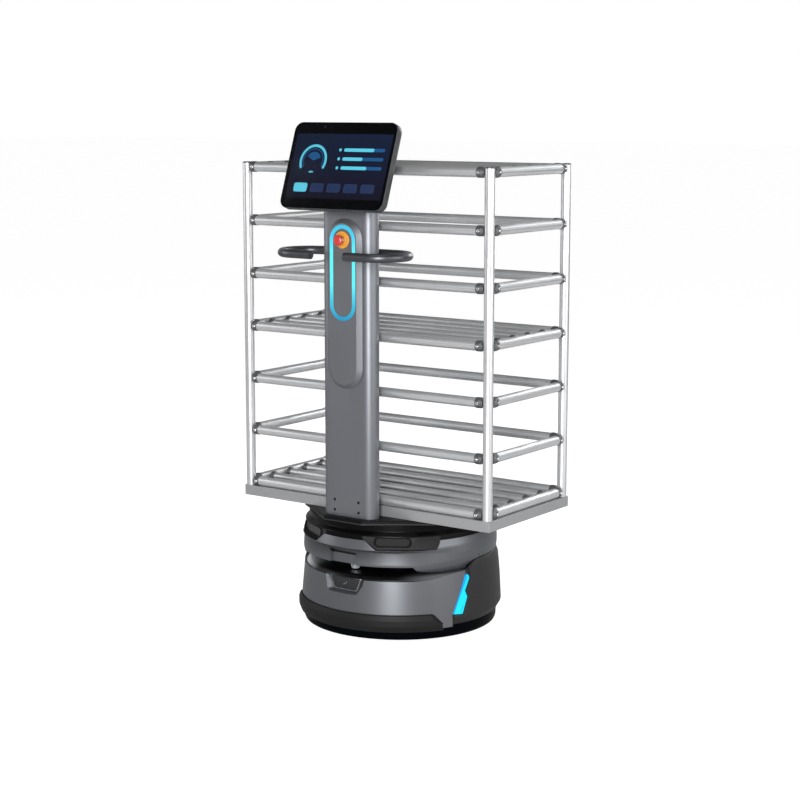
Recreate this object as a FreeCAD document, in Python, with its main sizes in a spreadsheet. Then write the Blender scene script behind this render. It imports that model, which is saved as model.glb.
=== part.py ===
import FreeCAD, Part

import math
import os

import Sketcher
from FreeCAD import Placement, Rotation, Vector

# Autonomous mobile robot: a round drive base with a scanner slot, a column with a
# control panel, handlebar and screen, and a rack of aluminium tubes on a tray.
# Millimetres. The screen faces -Y, the viewer's right is +X, the floor is z = 0.
# The origin is at the middle of the footprint of the whole robot.

os.makedirs("parts", exist_ok=True)
doc = FreeCAD.newDocument("MobileRobot")
sheet = doc.addObject("Spreadsheet::Sheet", "Sizes")

# Driving dimensions

SIZES = {
    # drive base: heights are above the floor, and a name that ends in _in is how far
    # inside the base's own radius a face lies
    "base_y": 25.0,
    "base_radius": 280.0,
    "skirt_low": 13.0,
    "skirt_foot": 2.0,
    "skirt_in": 14.0,
    "skirt_wall": 7.0,
    "plate_low": 72.0,
    "plate_thick": 4.0,
    "seam": 0.3,
    "shell_low": 42.0,
    "shell_low_in": 4.5,
    "shell_top": 171.0,
    "shell_top_in": 16.0,
    "shell_rise": 189.0,
    "shell_wall": 4.5,
    "side_low": 46.0,
    "side_tuck": 11.0,
    "side_top": 190.0,
    "side_top_in": 7.5,
    "side_lip": 212.0,
    "side_lip_in": 15.0,
    "side_span": 85.0,
    "rear_span": 60.0,
    "bumper_low": 36.0,
    "bumper_high": 82.0,
    "bumper_out": 0.8,
    "bumper_wall": 6.0,
    "bumper_end_in": 43.0,
    "bumper_top_in": 60.0,
    "bumper_gap": 0.8,
    # scanner slot
    "slot_floor": 183.0,
    "slot_roof": 208.0,
    "slot_neck_in": 31.0,
    "slot_core_radius": 120.0,
    "slot_wall": 3.0,
    "slot_span": 176.0,
    # upper ring and cap
    "ring_low": 189.5,
    "ring_low_in": 27.0,
    "ring_edge": 222.0,
    "ring_edge_in": 12.5,
    "ring_step": 253.5,
    "ring_in": 11.5,
    "ring_step_in": 2.0,
    "ring_top": 279.5,
    "ring_top_in": 17.5,
    "ring_bore_in": 35.0,
    "cap_shoulder": 293.0,
    "cap_shoulder_in": 19.5,
    "cap_neck": 302.0,
    "cap_neck_in": 30.0,
    "cap_wall": 4.0,
    "window_turn": 31.2,
    "window_wide": 90.0,
    "window_tall": 23.5,
    "window_high": 275.0,
    "window_in": 31.0,
    "window_thick": 3.0,
    "window_low": 255.0,
    "window_left": 45.0,
    "window_left_lean": 1.2,
    "window_fold": 57.0,
    "window_fold_lean": 0.207,
    "window_right": 118.0,
    "window_right_lean": 0.41,
    "notch_half": 42.0,
    "notch_high": 236.0,
    "notch_in": 26.0,
    "slit_half": 46.0,
    "slit_high": 243.0,
    "slit_in": 31.0,
    "panel_low_half": 31.0,
    "panel_low": 141.0,
    "panel_lean": 0.77,
    "panel_in": 34.0,
    "panel_flare": 24.0,
    "panel_drop": 7.0,
    "panel_deep": 20.0,
    "panel_back": 6.0,
    "panel_thick": 3.0,
    "panel_rim": 3.0,
    "panel_lens": 6.0,
    # deck plate
    "deck_low": 319.0,
    "deck_high": 332.0,
    "deck_front_half": 61.5,
    "deck_front_in": 19.0,
    "deck_side_in": 61.0,
    "deck_side_half": 147.0,
    "deck_bevel": 3.0,
    # drive wheels on their sprung arms
    "wheel_radius": 82.5,
    "wheel_wide": 40.0,
    "wheel_track": 384.0,
    "tyre_thick": 13.0,
    "hub_dish": 6.0,
    "axle_radius": 10.0,
    "pin_play": 0.05,
    "arm_reach": 112.0,
    "arm_pivot_up": 22.0,
    "arm_thick": 12.0,
    "arm_gap": 4.0,
    "arm_eye_radius": 22.0,
    "pivot_radius": 8.0,
    "wheel_room": 12.0,
    "bracket_thick": 10.0,
    "bracket_gap": 2.0,
    # castors
    "castor_radius": 27.0,
    "castor_wide": 22.0,
    "castor_trail": 20.0,
    "castor_x": 118.0,
    "castor_y": 150.0,
    "castor_plate": 4.0,
    "castor_plate_side": 62.0,
    "castor_boss_radius": 19.0,
    "castor_boss": 6.0,
    "castor_stem_radius": 6.0,
    "castor_crown": 4.0,
    "castor_cheek": 3.0,
    "castor_axle_radius": 4.0,
    # battery, controller, scanner, rear fittings
    "battery_wide": 220.0,
    "battery_deep": 150.0,
    "battery_tall": 84.0,
    "battery_y": 95.0,
    "controller_wide": 210.0,
    "controller_deep": 120.0,
    "controller_tall": 46.0,
    "controller_y": -70.0,
    "scanner_in": 76.2,
    "scanner_base_radius": 18.0,
    "scanner_base": 3.0,
    "scanner_radius": 15.5,
    "scanner_foot_radius": 11.5,
    "scanner_hang": 19.0,
    "scanner_spigot": 7.0,
    "scanner_spigot_long": 9.0,
    "contact_wide": 90.0,
    "contact_tall": 10.0,
    "contact_pitch": 34.0,
    "contact_high": 110.0,
    "contact_thick": 5.0,
    "recess_wide": 130.0,
    "recess_tall": 76.0,
    "recess_in": 18.0,
    "power_x": 42.0,
    "power_high": 178.0,
    "power_radius": 9.0,
    # column
    "column_front": -218.3,
    "column_depth": 51.4,
    "column_flat": 115.0,
    "column_wall": 3.0,
    "column_top": 1226.0,
    "foot_tall": 62.0,
    "foot_wide": 120.0,
    "foot_depth": 44.0,
    "screw_x": 78.8,
    "screw_low": 347.6,
    "screw_pitch": 27.5,
    "screw_radius": 3.6,
    # control panel on the column
    "pod_half": 56.0,
    "pod_low": 676.6,
    "pod_high": 1121.6,
    "pod_thick": 13.0,
    "pod_slope": 11.5,
    "loop_half": 41.0,
    "loop_band": 10.0,
    "loop_low": 856.5,
    "loop_high": 1106.4,
    "loop_thick": 4.0,
    "loop_proud": 0.8,
    # emergency stop
    "stop_high": 1067.0,
    "stop_ring_radius": 22.5,
    "stop_ring": 3.5,
    "stop_neck_radius": 11.0,
    "stop_neck": 7.0,
    "stop_bore": 7.0,
    "stop_stem_radius": 6.95,
    "stop_sink": 8.5,
    "stop_travel": 4.0,
    "stop_head_radius": 14.0,
    "stop_head": 8.5,
    "stop_head_socket": 4.0,
    # handlebar
    "bar_front": -293.4,
    "bar_rear": -150.4,
    "bar_high": 1030.0,
    "bar_radius": 11.5,
    "bar_bend_x": 117.0,
    "bar_end_x": 54.5,
    "bar_cap": 3.0,
    "clamp_wide": 60.0,
    "clamp_tall": 44.0,
    # screen
    "screen_y": -248.8,
    "screen_high": 1257.0,
    "screen_tilt": 19.5,
    "screen_wide": 332.0,
    "screen_tall": 232.7,
    "screen_up": 1.3,
    "screen_thick": 24.0,
    "screen_corner": 24.0,
    "screen_edge": 4.0,
    "glass_thick": 2.5,
    "glass_inset": 1.2,
    "active_wide": 310.0,
    "active_tall": 174.0,
    "active_thick": 1.5,
    "key_x": 26.0,
    "key_wide": 25.0,
    "key_deep": 8.0,
    "key_proud": 3.0,
    "key_travel": 1.5,
    "mount_wide": 110.0,
    "mount_tall": 90.0,
    "mount_plate": 4.0,
    # rack
    "rack_gap": 12.7,
    "post_x": 789.0,
    "post_y": 371.0,
    "tube_radius": 13.0,
    "tube_wall": 1.6,
    "post_top": 1256.0,
    "post_cap": 4.0,
    "post_plug": 12.0,
    "first_rail": 373.3,
    "rail_pitch": 145.4,
    "link_radius": 13.3,
    "link_long": 21.0,
    "link_play": 0.4,
    "slat_pitch": 74.2,
    "slat_radius": 11.0,
    "slat_link_radius": 12.5,
    "slat_link": 14.0,
    "tray_tall": 28.0,
    "tray_rim": 40.0,
    "tray_cross_x": 200.0,
}

RAIL_LEVELS = 7
SHELF_LEVELS = (0, 3, 6)
SLATS = 4

# An octagon's corner radius over its flat radius, and a dodecagon's over that of a
# circle of the same area
OCTAGON = 1 / math.cos(math.pi / 8)
DODECAGON = math.sqrt(math.pi / 3)
BIG = 700.0


class Size:
    """A length or angle: its value now, and the expression that gives it in the document."""

    def __init__(self, value, text):
        self.value = float(value)
        self.text = text

    def __add__(self, other):
        other = size(other)
        return Size(self.value + other.value, f"({self.text} + {other.text})")

    def __sub__(self, other):
        other = size(other)
        return Size(self.value - other.value, f"({self.text} - {other.text})")

    def __mul__(self, other):
        other = size(other)
        return Size(self.value * other.value, f"({self.text} * {other.text})")

    def __truediv__(self, other):
        other = size(other)
        return Size(self.value / other.value, f"({self.text} / {other.text})")

    def __neg__(self):
        return Size(-self.value, f"(0 - {self.text})")

    def __radd__(self, other):
        return size(other) + self

    def __rsub__(self, other):
        return size(other) - self

    def __rmul__(self, other):
        return size(other) * self


def size(number):
    return number if isinstance(number, Size) else Size(number, f"({float(number):.9f})")


def sine(angle):
    return Size(math.sin(math.radians(angle.value)), f"sin({angle.text} * 1 deg)")


def cosine(angle):
    return Size(math.cos(math.radians(angle.value)), f"cos({angle.text} * 1 deg)")


class Named:
    """The driving dimensions, each under its own name."""


s = Named()
for row, (name, value) in enumerate(SIZES.items(), start=1):
    sheet.set(f"A{row}", name)
    sheet.set(f"B{row}", str(value))
    sheet.setAlias(f"B{row}", name)
    setattr(s, name, Size(value, f"Sizes.{name}"))
doc.recompute()

# Faces of the drive base that follow its radius, and the rack's place behind the column

SKIRT_RADIUS = s.base_radius - s.skirt_in
SHELL_LOW_RADIUS = s.base_radius - s.shell_low_in
SHELL_TOP_RADIUS = s.base_radius - s.shell_top_in
SIDE_TOP_RADIUS = s.base_radius - s.side_top_in
SIDE_LIP_RADIUS = s.base_radius - s.side_lip_in
BUMPER_RADIUS = s.base_radius + s.bumper_out
BUMPER_HALF = s.base_radius - s.bumper_end_in
BUMPER_TOP_HALF = s.base_radius - s.bumper_top_in
SLOT_NECK_RADIUS = s.base_radius - s.slot_neck_in
RING_LOW_RADIUS = s.base_radius - s.ring_low_in
RING_EDGE_RADIUS = s.base_radius - s.ring_edge_in
RING_RADIUS = s.base_radius - s.ring_in
RING_TOP_RADIUS = s.base_radius - s.ring_top_in
RING_INNER = s.base_radius - s.ring_bore_in
CAP_SHOULDER_RADIUS = s.base_radius - s.cap_shoulder_in
CAP_NECK_RADIUS = s.base_radius - s.cap_neck_in
WINDOW_DEPTH = s.base_radius - s.window_in
NOTCH_DEPTH = s.base_radius - s.notch_in
SLIT_DEPTH = s.base_radius - s.slit_in
PANEL_DEPTH = s.base_radius - s.panel_in
RECESS_DEPTH = s.base_radius - s.recess_in
DECK_REACH = s.base_radius - s.deck_front_in
DECK_SIDE = s.base_radius - s.deck_side_in

COLUMN_Y = s.column_front + s.column_depth / 2
TRAY_WIDE = s.post_x + 2 * s.tube_radius
TRAY_DEEP = s.post_y + 2 * s.tube_radius
RACK_Y = s.column_front + s.column_depth + s.rack_gap + TRAY_DEEP / 2

nodes = []


def bind(thing, prop, length):
    thing.setExpression(prop, size(length).text)


def place(thing, x=0, y=0, z=0, turn=None):
    """Put an object at a point, turned by a rotation about its own origin."""
    point = [size(x), size(y), size(z)]
    thing.Placement = Placement(Vector(*[c.value for c in point]), turn or Rotation())
    for axis, coordinate in zip("xyz", point):
        bind(thing, f"Placement.Base.{axis}", coordinate)
    return thing


def node(thing, name):
    """Name a finished sub-part; its label is its file name."""
    thing.Label = name
    nodes.append(thing)
    return thing


# Primitives and booleans

ALONG_X = Rotation(Vector(0, 1, 0), 90)
ALONG_Y = Rotation(Vector(1, 0, 0), -90)
TOWARD_FRONT = Rotation(Vector(1, 0, 0), 90)


def block(wide, deep, tall, x=0, y=0, z=0):
    """A box centred on x and y, standing on z."""
    solid = doc.addObject("Part::Box", "Block")
    bind(solid, "Length", wide)
    bind(solid, "Width", deep)
    bind(solid, "Height", tall)
    return place(solid, size(x) - size(wide) / 2, size(y) - size(deep) / 2, z)


def rod(radius, length, x=0, y=0, z=0, turn=None):
    """A cylinder from a point, along +Z unless it is turned."""
    solid = doc.addObject("Part::Cylinder", "Rod")
    bind(solid, "Radius", radius)
    bind(solid, "Height", length)
    return place(solid, x, y, z, turn)


def cone(radius, end_radius, length, x=0, y=0, z=0, turn=None):
    solid = doc.addObject("Part::Cone", "Cone")
    bind(solid, "Radius1", radius)
    bind(solid, "Radius2", end_radius)
    bind(solid, "Height", length)
    return place(solid, x, y, z, turn)


def prism(sides, corner_radius, length, x, y, z, turn):
    """A regular prism with a flat towards each main axis across it."""
    solid = doc.addObject("Part::Prism", "Prism")
    solid.Polygon = sides
    bind(solid, "Circumradius", corner_radius)
    bind(solid, "Height", length)
    roll = Rotation(Vector(0, 0, 1), 180 / sides)
    return place(solid, x, y, z, (turn or Rotation()).multiply(roll))


def octagon(flat_radius, length, x=0, y=0, z=0, turn=None):
    """An octagonal bar with flats at the given radius."""
    return prism(8, size(flat_radius) * OCTAGON, length, x, y, z, turn)


def bar(radius, length, x=0, y=0, z=0, turn=None):
    """A rack tube's round outline, in twelve flats of the same section area."""
    return prism(12, size(radius) * DODECAGON, length, x, y, z, turn)


def fuse(*things):
    whole = doc.addObject("Part::MultiFuse", "Fused")
    whole.Shapes = list(things)
    whole.Refine = True
    return whole


def cut(base, *tools):
    rest = doc.addObject("Part::Cut", "Rest")
    rest.Base = base
    rest.Tool = tools[0] if len(tools) == 1 else fuse(*tools)
    rest.Refine = True
    return rest


def common(first, second):
    both = doc.addObject("Part::Common", "Both")
    both.Base = first
    both.Tool = second
    return both


def group(*things):
    """Separate solids that share a node."""
    whole = doc.addObject("Part::Compound", "Group")
    whole.Links = list(things)
    return whole


def tube(radius, wall, length, x=0, y=0, z=0, turn=None):
    return cut(bar(radius, length, x, y, z, turn), bar(size(radius) - wall, length, x, y, z, turn))


# Sketched features


def new_body():
    return doc.addObject("PartDesign::Body", "Body")


def sketch_on(body, role):
    sketch = body.newObject("Sketcher::SketchObject", "Outline")
    plane = next(f for f in body.Origin.OriginFeatures if f.Role == role)
    sketch.AttachmentSupport = [(plane, "")]
    sketch.MapMode = "FlatFace"
    return sketch


def pin_point(sketch, curve, end, x, y):
    """Hold one point of a sketch at coordinates bound to the sheet."""
    for kind, axis, length in (("DistanceX", -2, size(x)), ("DistanceY", -1, size(y))):
        if abs(length.value) < 1e-9:
            sketch.addConstraint(Sketcher.Constraint("PointOnObject", curve, end, axis))
            continue
        index = sketch.addConstraint(Sketcher.Constraint(kind, -1, 1, curve, end, length.value))
        bind(sketch, f"Constraints[{index}]", length)


def polygon(sketch, points):
    """A closed outline of straight lines through points given as pairs of sizes."""
    corners = [Vector(size(x).value, size(y).value, 0) for x, y in points]
    count = len(corners)
    for i, corner in enumerate(corners):
        sketch.addGeometry(Part.LineSegment(corner, corners[(i + 1) % count]))
    for i in range(count):
        sketch.addConstraint(Sketcher.Constraint("Coincident", i, 2, (i + 1) % count, 1))
    for i, (x, y) in enumerate(points):
        pin_point(sketch, i, 1, x, y)
    return sketch


def stadium(sketch, radius, first, second):
    """A closed outline of two half circles, centred on two points in line with an axis."""
    (x1, y1), (x2, y2) = [(size(x), size(y)) for x, y in (first, second)]
    a, b = Vector(x1.value, y1.value, 0), Vector(x2.value, y2.value, 0)
    r = size(radius)
    along = math.atan2(b.y - a.y, b.x - a.x)
    side = Vector(-math.sin(along), math.cos(along), 0) * r.value
    quarter = math.pi / 2
    start = sketch.GeometryCount
    first_line, first_arc, second_line, second_arc = range(start, start + 4)
    sketch.addGeometry(Part.LineSegment(a - side, b - side))
    sketch.addGeometry(
        Part.ArcOfCircle(Part.Circle(b, Vector(0, 0, 1), r.value), along - quarter, along + quarter)
    )
    sketch.addGeometry(Part.LineSegment(b + side, a + side))
    sketch.addGeometry(
        Part.ArcOfCircle(Part.Circle(a, Vector(0, 0, 1), r.value), along + quarter, along + 3 * quarter)
    )
    ring = [first_line, first_arc, second_line, second_arc]
    for here, there in zip(ring, ring[1:] + ring[:1]):
        sketch.addConstraint(Sketcher.Constraint("Tangent", here, 2, there, 1))
    pin_point(sketch, first_arc, 3, x2, y2)
    pin_point(sketch, second_arc, 3, x1, y1)
    index = sketch.addConstraint(Sketcher.Constraint("Radius", first_arc, r.value))
    bind(sketch, f"Constraints[{index}]", r)
    return sketch


def pad(body, sketch, length, both_ways=False):
    feature = body.newObject("PartDesign::Pad", "Pad")
    feature.Profile = sketch
    feature.Midplane = both_ways
    bind(feature, "Length", length)
    return body


def turned(points, span=360.0, centre=0.0):
    """A profile of (radius, height) points turned about the drive base's axis.

    centre is the middle of its span, counted from the front towards +X.
    """
    body = new_body()
    feature_sketch = polygon(sketch_on(body, "XZ_Plane"), points)
    feature = body.newObject("PartDesign::Revolution", "Turned")
    feature.Profile = feature_sketch
    feature.ReferenceAxis = (feature_sketch, ["V_Axis"])
    feature.Midplane = True
    bind(feature, "Angle", span)
    facing = size(centre).value - 90
    return place(body, 0, s.base_y, 0, Rotation(Vector(0, 0, 1), facing))


def turned_here(points, x=0, y=0, z=0, turn=None):
    """A profile of (radius, height) points turned full circle about its own axis."""
    body = new_body()
    feature_sketch = polygon(sketch_on(body, "XZ_Plane"), points)
    feature = body.newObject("PartDesign::Revolution", "Turned")
    feature.Profile = feature_sketch
    feature.ReferenceAxis = (feature_sketch, ["V_Axis"])
    feature.Angle = 360
    return place(body, x, y, z, turn)


def front_prism(points, facing=0.0):
    """An outline of (across, height) points run out from the drive base's axis.

    It runs towards the front, or towards an angle from the front towards +X.
    """
    body = new_body()
    pad(body, polygon(sketch_on(body, "XZ_Plane"), points), BIG)
    return place(body, 0, s.base_y, 0, Rotation(Vector(0, 0, 1), size(facing).value))


def side_prism(points):
    """An outline of (y from the drive base's axis, height) points run across the base."""
    body = new_body()
    pad(body, polygon(sketch_on(body, "YZ_Plane"), points), 2 * BIG, both_ways=True)
    return place(body, 0, s.base_y, 0)


# Drive base: skirt, base plate and shells


def skirt():
    inner = SKIRT_RADIUS - s.skirt_wall
    return turned([
        (inner, s.skirt_low),
        (SKIRT_RADIUS - s.skirt_foot, s.skirt_low),
        (SKIRT_RADIUS, s.plate_low),
        (inner, s.plate_low),
    ])


def wheel_x(side):
    return side * s.wheel_track / 2


def wheel_slot(side, low, tall):
    """The gap in the base plate for a drive wheel and the arm beside it."""
    long = 2 * s.wheel_radius + 2 * s.wheel_room
    play = s.wheel_room / 3
    wide = s.wheel_wide + s.arm_gap + s.arm_thick + s.bracket_gap / 2 + play
    middle = arm_x(side, wide / 2 - s.bracket_gap / 2)
    return block(wide, long, tall, middle, s.base_y, low)


def base_plate():
    plate = rod(SKIRT_RADIUS, s.plate_thick, 0, s.base_y, s.plate_low)
    return cut(plate, *[wheel_slot(side, s.plate_low - 1, s.plate_thick + 2) for side in (-1, 1)])


def shell_radius(height):
    """Radius of the lower shell's outer face at a height."""
    share = (size(height) - s.shell_low) / (s.shell_top - s.shell_low)
    return SHELL_LOW_RADIUS + (SHELL_TOP_RADIUS - SHELL_LOW_RADIUS) * share


PLATE_HIGH = s.plate_low + s.plate_thick

# The seam between the front shell and a side shell, as (y from the base's axis, height)
SEAM_FOOT = (-111.0, 40.0)
SEAM_BEND = (-108.8, 75.0)
SEAM_HEAD = (-58.6, 176.0)

# The lens between the front shell and a side shell, seen from the side
LENS = [
    (-107.2, 75.6), (-80.4, 73.0), (-60.9, 116.0), (-67.9, 133.0),
    (-50.1, 165.8), (-54.0, 175.0), (-58.2, 174.6),
]

# The front upper edge of a side shell, seen from the side
SHOULDER = [(-50.0, 187.0), (-46.0, 197.0), (-30.5, 208.0), (-7.0, 212.6)]


def front_half_outline(half, top_half, low, high, gap=0.0):
    """The bumper's outline in front view: a band with chamfered upper ends."""
    bend = size(high) - (size(half) - top_half) * 1.4
    return [
        (-(size(half) + gap), size(low) - gap),
        (size(half) + gap, size(low) - gap),
        (size(half) + gap, bend),
        (size(top_half) + gap, size(high) + gap),
        (-(size(top_half) + gap), size(high) + gap),
        (-(size(half) + gap), bend),
    ]


# The slot's lower edge in front view, as (half width, height): it climbs towards both ends
JAW = [(190.0, s.shell_top), (217.0, s.shell_top + 4.5), (241.0, s.shell_top + 12.5), (264.0, s.shell_rise)]

RIM_RADIUS = shell_radius(s.shell_rise)
RIM_INNER = RIM_RADIUS - s.shell_wall


def lower_shell():
    inner = SKIRT_RADIUS + s.seam
    whole = turned([
        (inner, s.shell_low),
        (SHELL_LOW_RADIUS, s.shell_low),
        (RIM_RADIUS, s.shell_rise),
        (RIM_INNER, s.shell_rise),
        (RIM_INNER, PLATE_HIGH + 4),
        (inner, PLATE_HIGH + 4),
    ], 170.0)
    behind = side_prism([
        SEAM_FOOT, SEAM_BEND, SEAM_HEAD, (SEAM_HEAD[0], 200.0), (BIG, 200.0), (BIG, SEAM_FOOT[1]),
    ])
    left = [(-size(x), z) for x, z in JAW]
    over = s.shell_rise + 20
    jaw = front_prism([*left, (left[-1][0], over), (JAW[-1][0], over), *reversed(JAW)])
    outline = front_half_outline(
        BUMPER_HALF, BUMPER_TOP_HALF, s.bumper_low - 10, s.bumper_high, s.bumper_gap
    )
    pocket = cut(
        front_prism(outline),
        rod(SKIRT_RADIUS + 3, BIG, 0, s.base_y, 0),
    )
    return cut(fuse(whole, panel_block()), behind, jaw, pocket, panel_pocket())


def panel_outline(grow=0.0, flare=0.0, drop=0.0):
    """The front recess seen from the front: a trapezoid with its long side up."""
    low = s.panel_low - grow - drop
    high = s.shell_top + 10
    half = s.panel_low_half + grow + flare - s.panel_lean * drop
    top_half = half + s.panel_lean * (high - low)
    return [(-half, low), (half, low), (top_half, high), (-top_half, high)]


def panel_block():
    """The solid behind the front shell that the recess is sunk in."""
    low = s.panel_low - s.panel_drop - 4
    high = s.shell_top - 0.5
    back = PANEL_DEPTH - s.panel_back
    band = turned([
        (back, low),
        (shell_radius(low) - 1, low),
        (shell_radius(high) - 1, high),
        (back, high),
    ], 60.0)
    return common(band, front_prism(panel_outline(3.0, s.panel_flare, s.panel_drop)))


def panel_pocket():
    """A flat-floored recess in the front shell with sloping walls, open at the top."""
    body = new_body()
    floor = polygon(sketch_on(body, "XZ_Plane"), panel_outline())
    bind(floor, "AttachmentOffset.Base.z", PANEL_DEPTH)
    mouth = polygon(sketch_on(body, "XZ_Plane"), panel_outline(0.0, s.panel_flare, s.panel_drop))
    bind(mouth, "AttachmentOffset.Base.z", PANEL_DEPTH + s.panel_deep)
    loft = body.newObject("PartDesign::AdditiveLoft", "Pocket")
    loft.Profile = floor
    loft.Sections = [mouth]
    loft.Ruled = True
    return place(body, 0, s.base_y, 0)


def sensor_panel():
    """A flat trapezoid cover on the recess floor, with a round lens in it."""
    floor = s.base_y - PANEL_DEPTH - s.seam
    outline = panel_outline(-s.panel_rim)
    low, top = outline[1], outline[2]
    half = low[0] + s.panel_lean * (s.shell_top - low[1])
    outline = [outline[0], low, (half, s.shell_top), (-half, s.shell_top)]
    slab = block(300.0, s.panel_thick, BIG, 0, floor - s.panel_thick / 2, 0)
    middle = (s.panel_low + s.shell_top) / 2
    lens = cone(s.panel_lens, s.panel_lens - 1.5, 2.0, 0, floor - s.panel_thick + 0.5, middle, TOWARD_FRONT)
    return fuse(common(front_prism(outline), slab), lens)


def side_profile():
    inner = SKIRT_RADIUS + s.seam
    thin = SIDE_LIP_RADIUS - s.shell_wall
    return [
        (inner, s.side_low),
        (s.base_radius - s.side_tuck, s.side_low),
        (s.base_radius, s.side_low + 1.7 * s.side_tuck),
        (SIDE_TOP_RADIUS, s.side_top),
        (SIDE_LIP_RADIUS, s.side_lip),
        (thin, s.side_lip),
        (thin, PLATE_HIGH + 4),
        (inner, PLATE_HIGH + 4),
    ]


def side_shell(side):
    rear_edge = 180 - s.rear_span / 2
    band = turned(side_profile(), s.side_span, (rear_edge - s.side_span / 2) * side)
    g = s.seam
    behind = side_prism([
        (SEAM_FOOT[0] + g, 30.0),
        (SEAM_FOOT[0] + g, SEAM_FOOT[1]),
        (SEAM_BEND[0] + g, SEAM_BEND[1] - 0.5),
        (LENS[1][0] + g, LENS[1][1] - 1.5),
        (LENS[2][0] + 1 + g, LENS[2][1]),
        (LENS[3][0] + 1 + g, LENS[3][1]),
        (LENS[4][0] + 1 + g, LENS[4][1]),
        *SHOULDER,
        (BIG, s.side_lip + 0.0),
        (BIG, 30.0),
    ])
    shell = common(band, behind)
    return cut(shell, tail_pocket(side))


def tail_outline():
    """A flat bar high on the rear of each side shell, in (across, height)."""
    return [(-44.0, 178.0), (40.0, 178.0), (48.0, 194.0), (-52.0, 194.0)]


TAIL_TURN = 138.0


def tail_pocket(side):
    outline = [(side * x, z) for x, z in tail_outline()]
    return front_prism(outline, TAIL_TURN * side)


def tail_lens(side):
    """A clear bar in its pocket, from just inside the shell's wall to just proud of it."""
    low, high = tail_outline()[0][1], tail_outline()[2][1]
    outline = [(side * x * 0.99, z + 0.3 if z < s.side_top.value - 5 else z - 0.3) for x, z in tail_outline()]
    band = turned([
        (SIDE_LIP_RADIUS - s.shell_wall + 1, low),
        (SIDE_TOP_RADIUS + 1.5, low),
        (SIDE_TOP_RADIUS + 0.5, high),
        (SIDE_LIP_RADIUS - s.shell_wall + 1, high),
    ], 30.0, TAIL_TURN * side)
    return common(band, front_prism(outline, TAIL_TURN * side))


def side_lens(side):
    """The cyan blade between the front shell and a side shell."""
    band = turned([
        (SKIRT_RADIUS + s.seam, 60.0),
        (shell_radius(60.0) + 1.6, 60.0),
        (shell_radius(180.0) + 3.0, 180.0),
        (SIDE_LIP_RADIUS - s.shell_wall, 180.0),
        (SIDE_LIP_RADIUS - s.shell_wall, PLATE_HIGH + 4),
        (SKIRT_RADIUS + s.seam, PLATE_HIGH + 4),
    ], 40.0, 72.0 * side)
    return common(band, side_prism(LENS))


def rear_cover():
    band = turned(side_profile(), s.rear_span - 0.2, 180.0)
    back = s.base_y + RECESS_DEPTH
    low = s.contact_high - s.recess_tall / 2
    recess = block(s.recess_wide, BIG, s.recess_tall, 0, back + BIG / 2, low)
    button_hole = rod(s.power_radius + s.seam, BIG, s.power_x, s.base_y, s.power_high, ALONG_Y)
    return cut(band, recess, button_hole)


def charge_contacts():
    """Two flat contact bars on an insulating block, seated in the rear recess."""
    seat = s.base_y + RECESS_DEPTH + s.seam
    low = s.contact_high - s.contact_pitch / 2 - s.contact_tall / 2
    bars = [
        block(s.contact_wide, s.contact_thick, s.contact_tall, 0,
              seat + s.contact_thick / 2, low + i * s.contact_pitch)
        for i in range(2)
    ]
    return group(*bars)


def power_button():
    reach = 9.0
    face = s.base_y + SIDE_TOP_RADIUS - 4
    return rod(s.power_radius, reach, s.power_x, face - reach, s.power_high, ALONG_Y)


def bumper():
    inner = BUMPER_RADIUS - s.bumper_wall
    low = s.bumper_low
    band = turned([
        (inner - 1, low),
        (BUMPER_RADIUS - 6, low),
        (BUMPER_RADIUS, low + 16),
        (BUMPER_RADIUS, s.bumper_high - 14),
        (BUMPER_RADIUS - 5, s.bumper_high),
        (inner - 1, s.bumper_high),
    ], 130.0)
    outline = front_half_outline(BUMPER_HALF, BUMPER_TOP_HALF, low - 5, s.bumper_high)
    return common(band, front_prism(outline))


# Scanner slot, upper ring and cap


def slot_liner():
    """The dark spool behind the slot: a floor that rises inwards, a core and a roof."""
    wall = s.slot_wall
    edge = RIM_INNER - s.seam
    roof_edge = RING_INNER - s.seam
    return turned([
        (edge, s.shell_top),
        (edge, s.shell_top + 2),
        (SLOT_NECK_RADIUS - 1, s.slot_floor),
        (s.slot_core_radius, s.slot_floor),
        (s.slot_core_radius, s.slot_roof),
        (roof_edge, s.slot_roof),
        (roof_edge, s.slot_roof + wall),
        (s.slot_core_radius - wall, s.slot_roof + wall),
        (s.slot_core_radius - wall, s.slot_floor - wall),
        (SLOT_NECK_RADIUS - 4, s.slot_floor - wall),
    ], s.slot_span)


# The open mouth of the slot in front view, as (half width, height)
MOUTH = [(s.base_radius - 18, 187.0), (218.0, 191.0), (188.0, 196.5), (181.0, 210.0)]


def upper_shell():
    ring = turned([
        (RING_INNER, s.ring_low),
        (RING_LOW_RADIUS, s.ring_low),
        (RING_EDGE_RADIUS, s.ring_edge),
        (RING_RADIUS, s.ring_step),
        (RING_RADIUS - s.ring_step_in, s.ring_step + 1.5),
        (RING_TOP_RADIUS, s.ring_top),
        (RING_INNER, s.ring_top),
    ])
    corner = MOUTH[0][0]
    left = [(-size(x), z) for x, z in reversed(MOUTH)]
    mouth = front_prism([(-corner, 150.0), (corner, 150.0), *MOUTH, *left])
    gap = 1.5
    flank = side_prism([
        (SHOULDER[0][0] - gap, 150.0),
        (SHOULDER[0][0] - gap, SHOULDER[0][1] + gap),
        (SHOULDER[1][0] - gap, SHOULDER[1][1] + gap),
        (SHOULDER[2][0] - gap, SHOULDER[2][1] + gap + 1),
        (SHOULDER[3][0], s.side_lip + 2.5),
        (BIG, s.side_lip + 2.5),
        (BIG, 150.0),
    ])
    return cut(ring, mouth, flank, slit_pocket(), *window_pockets())


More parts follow.
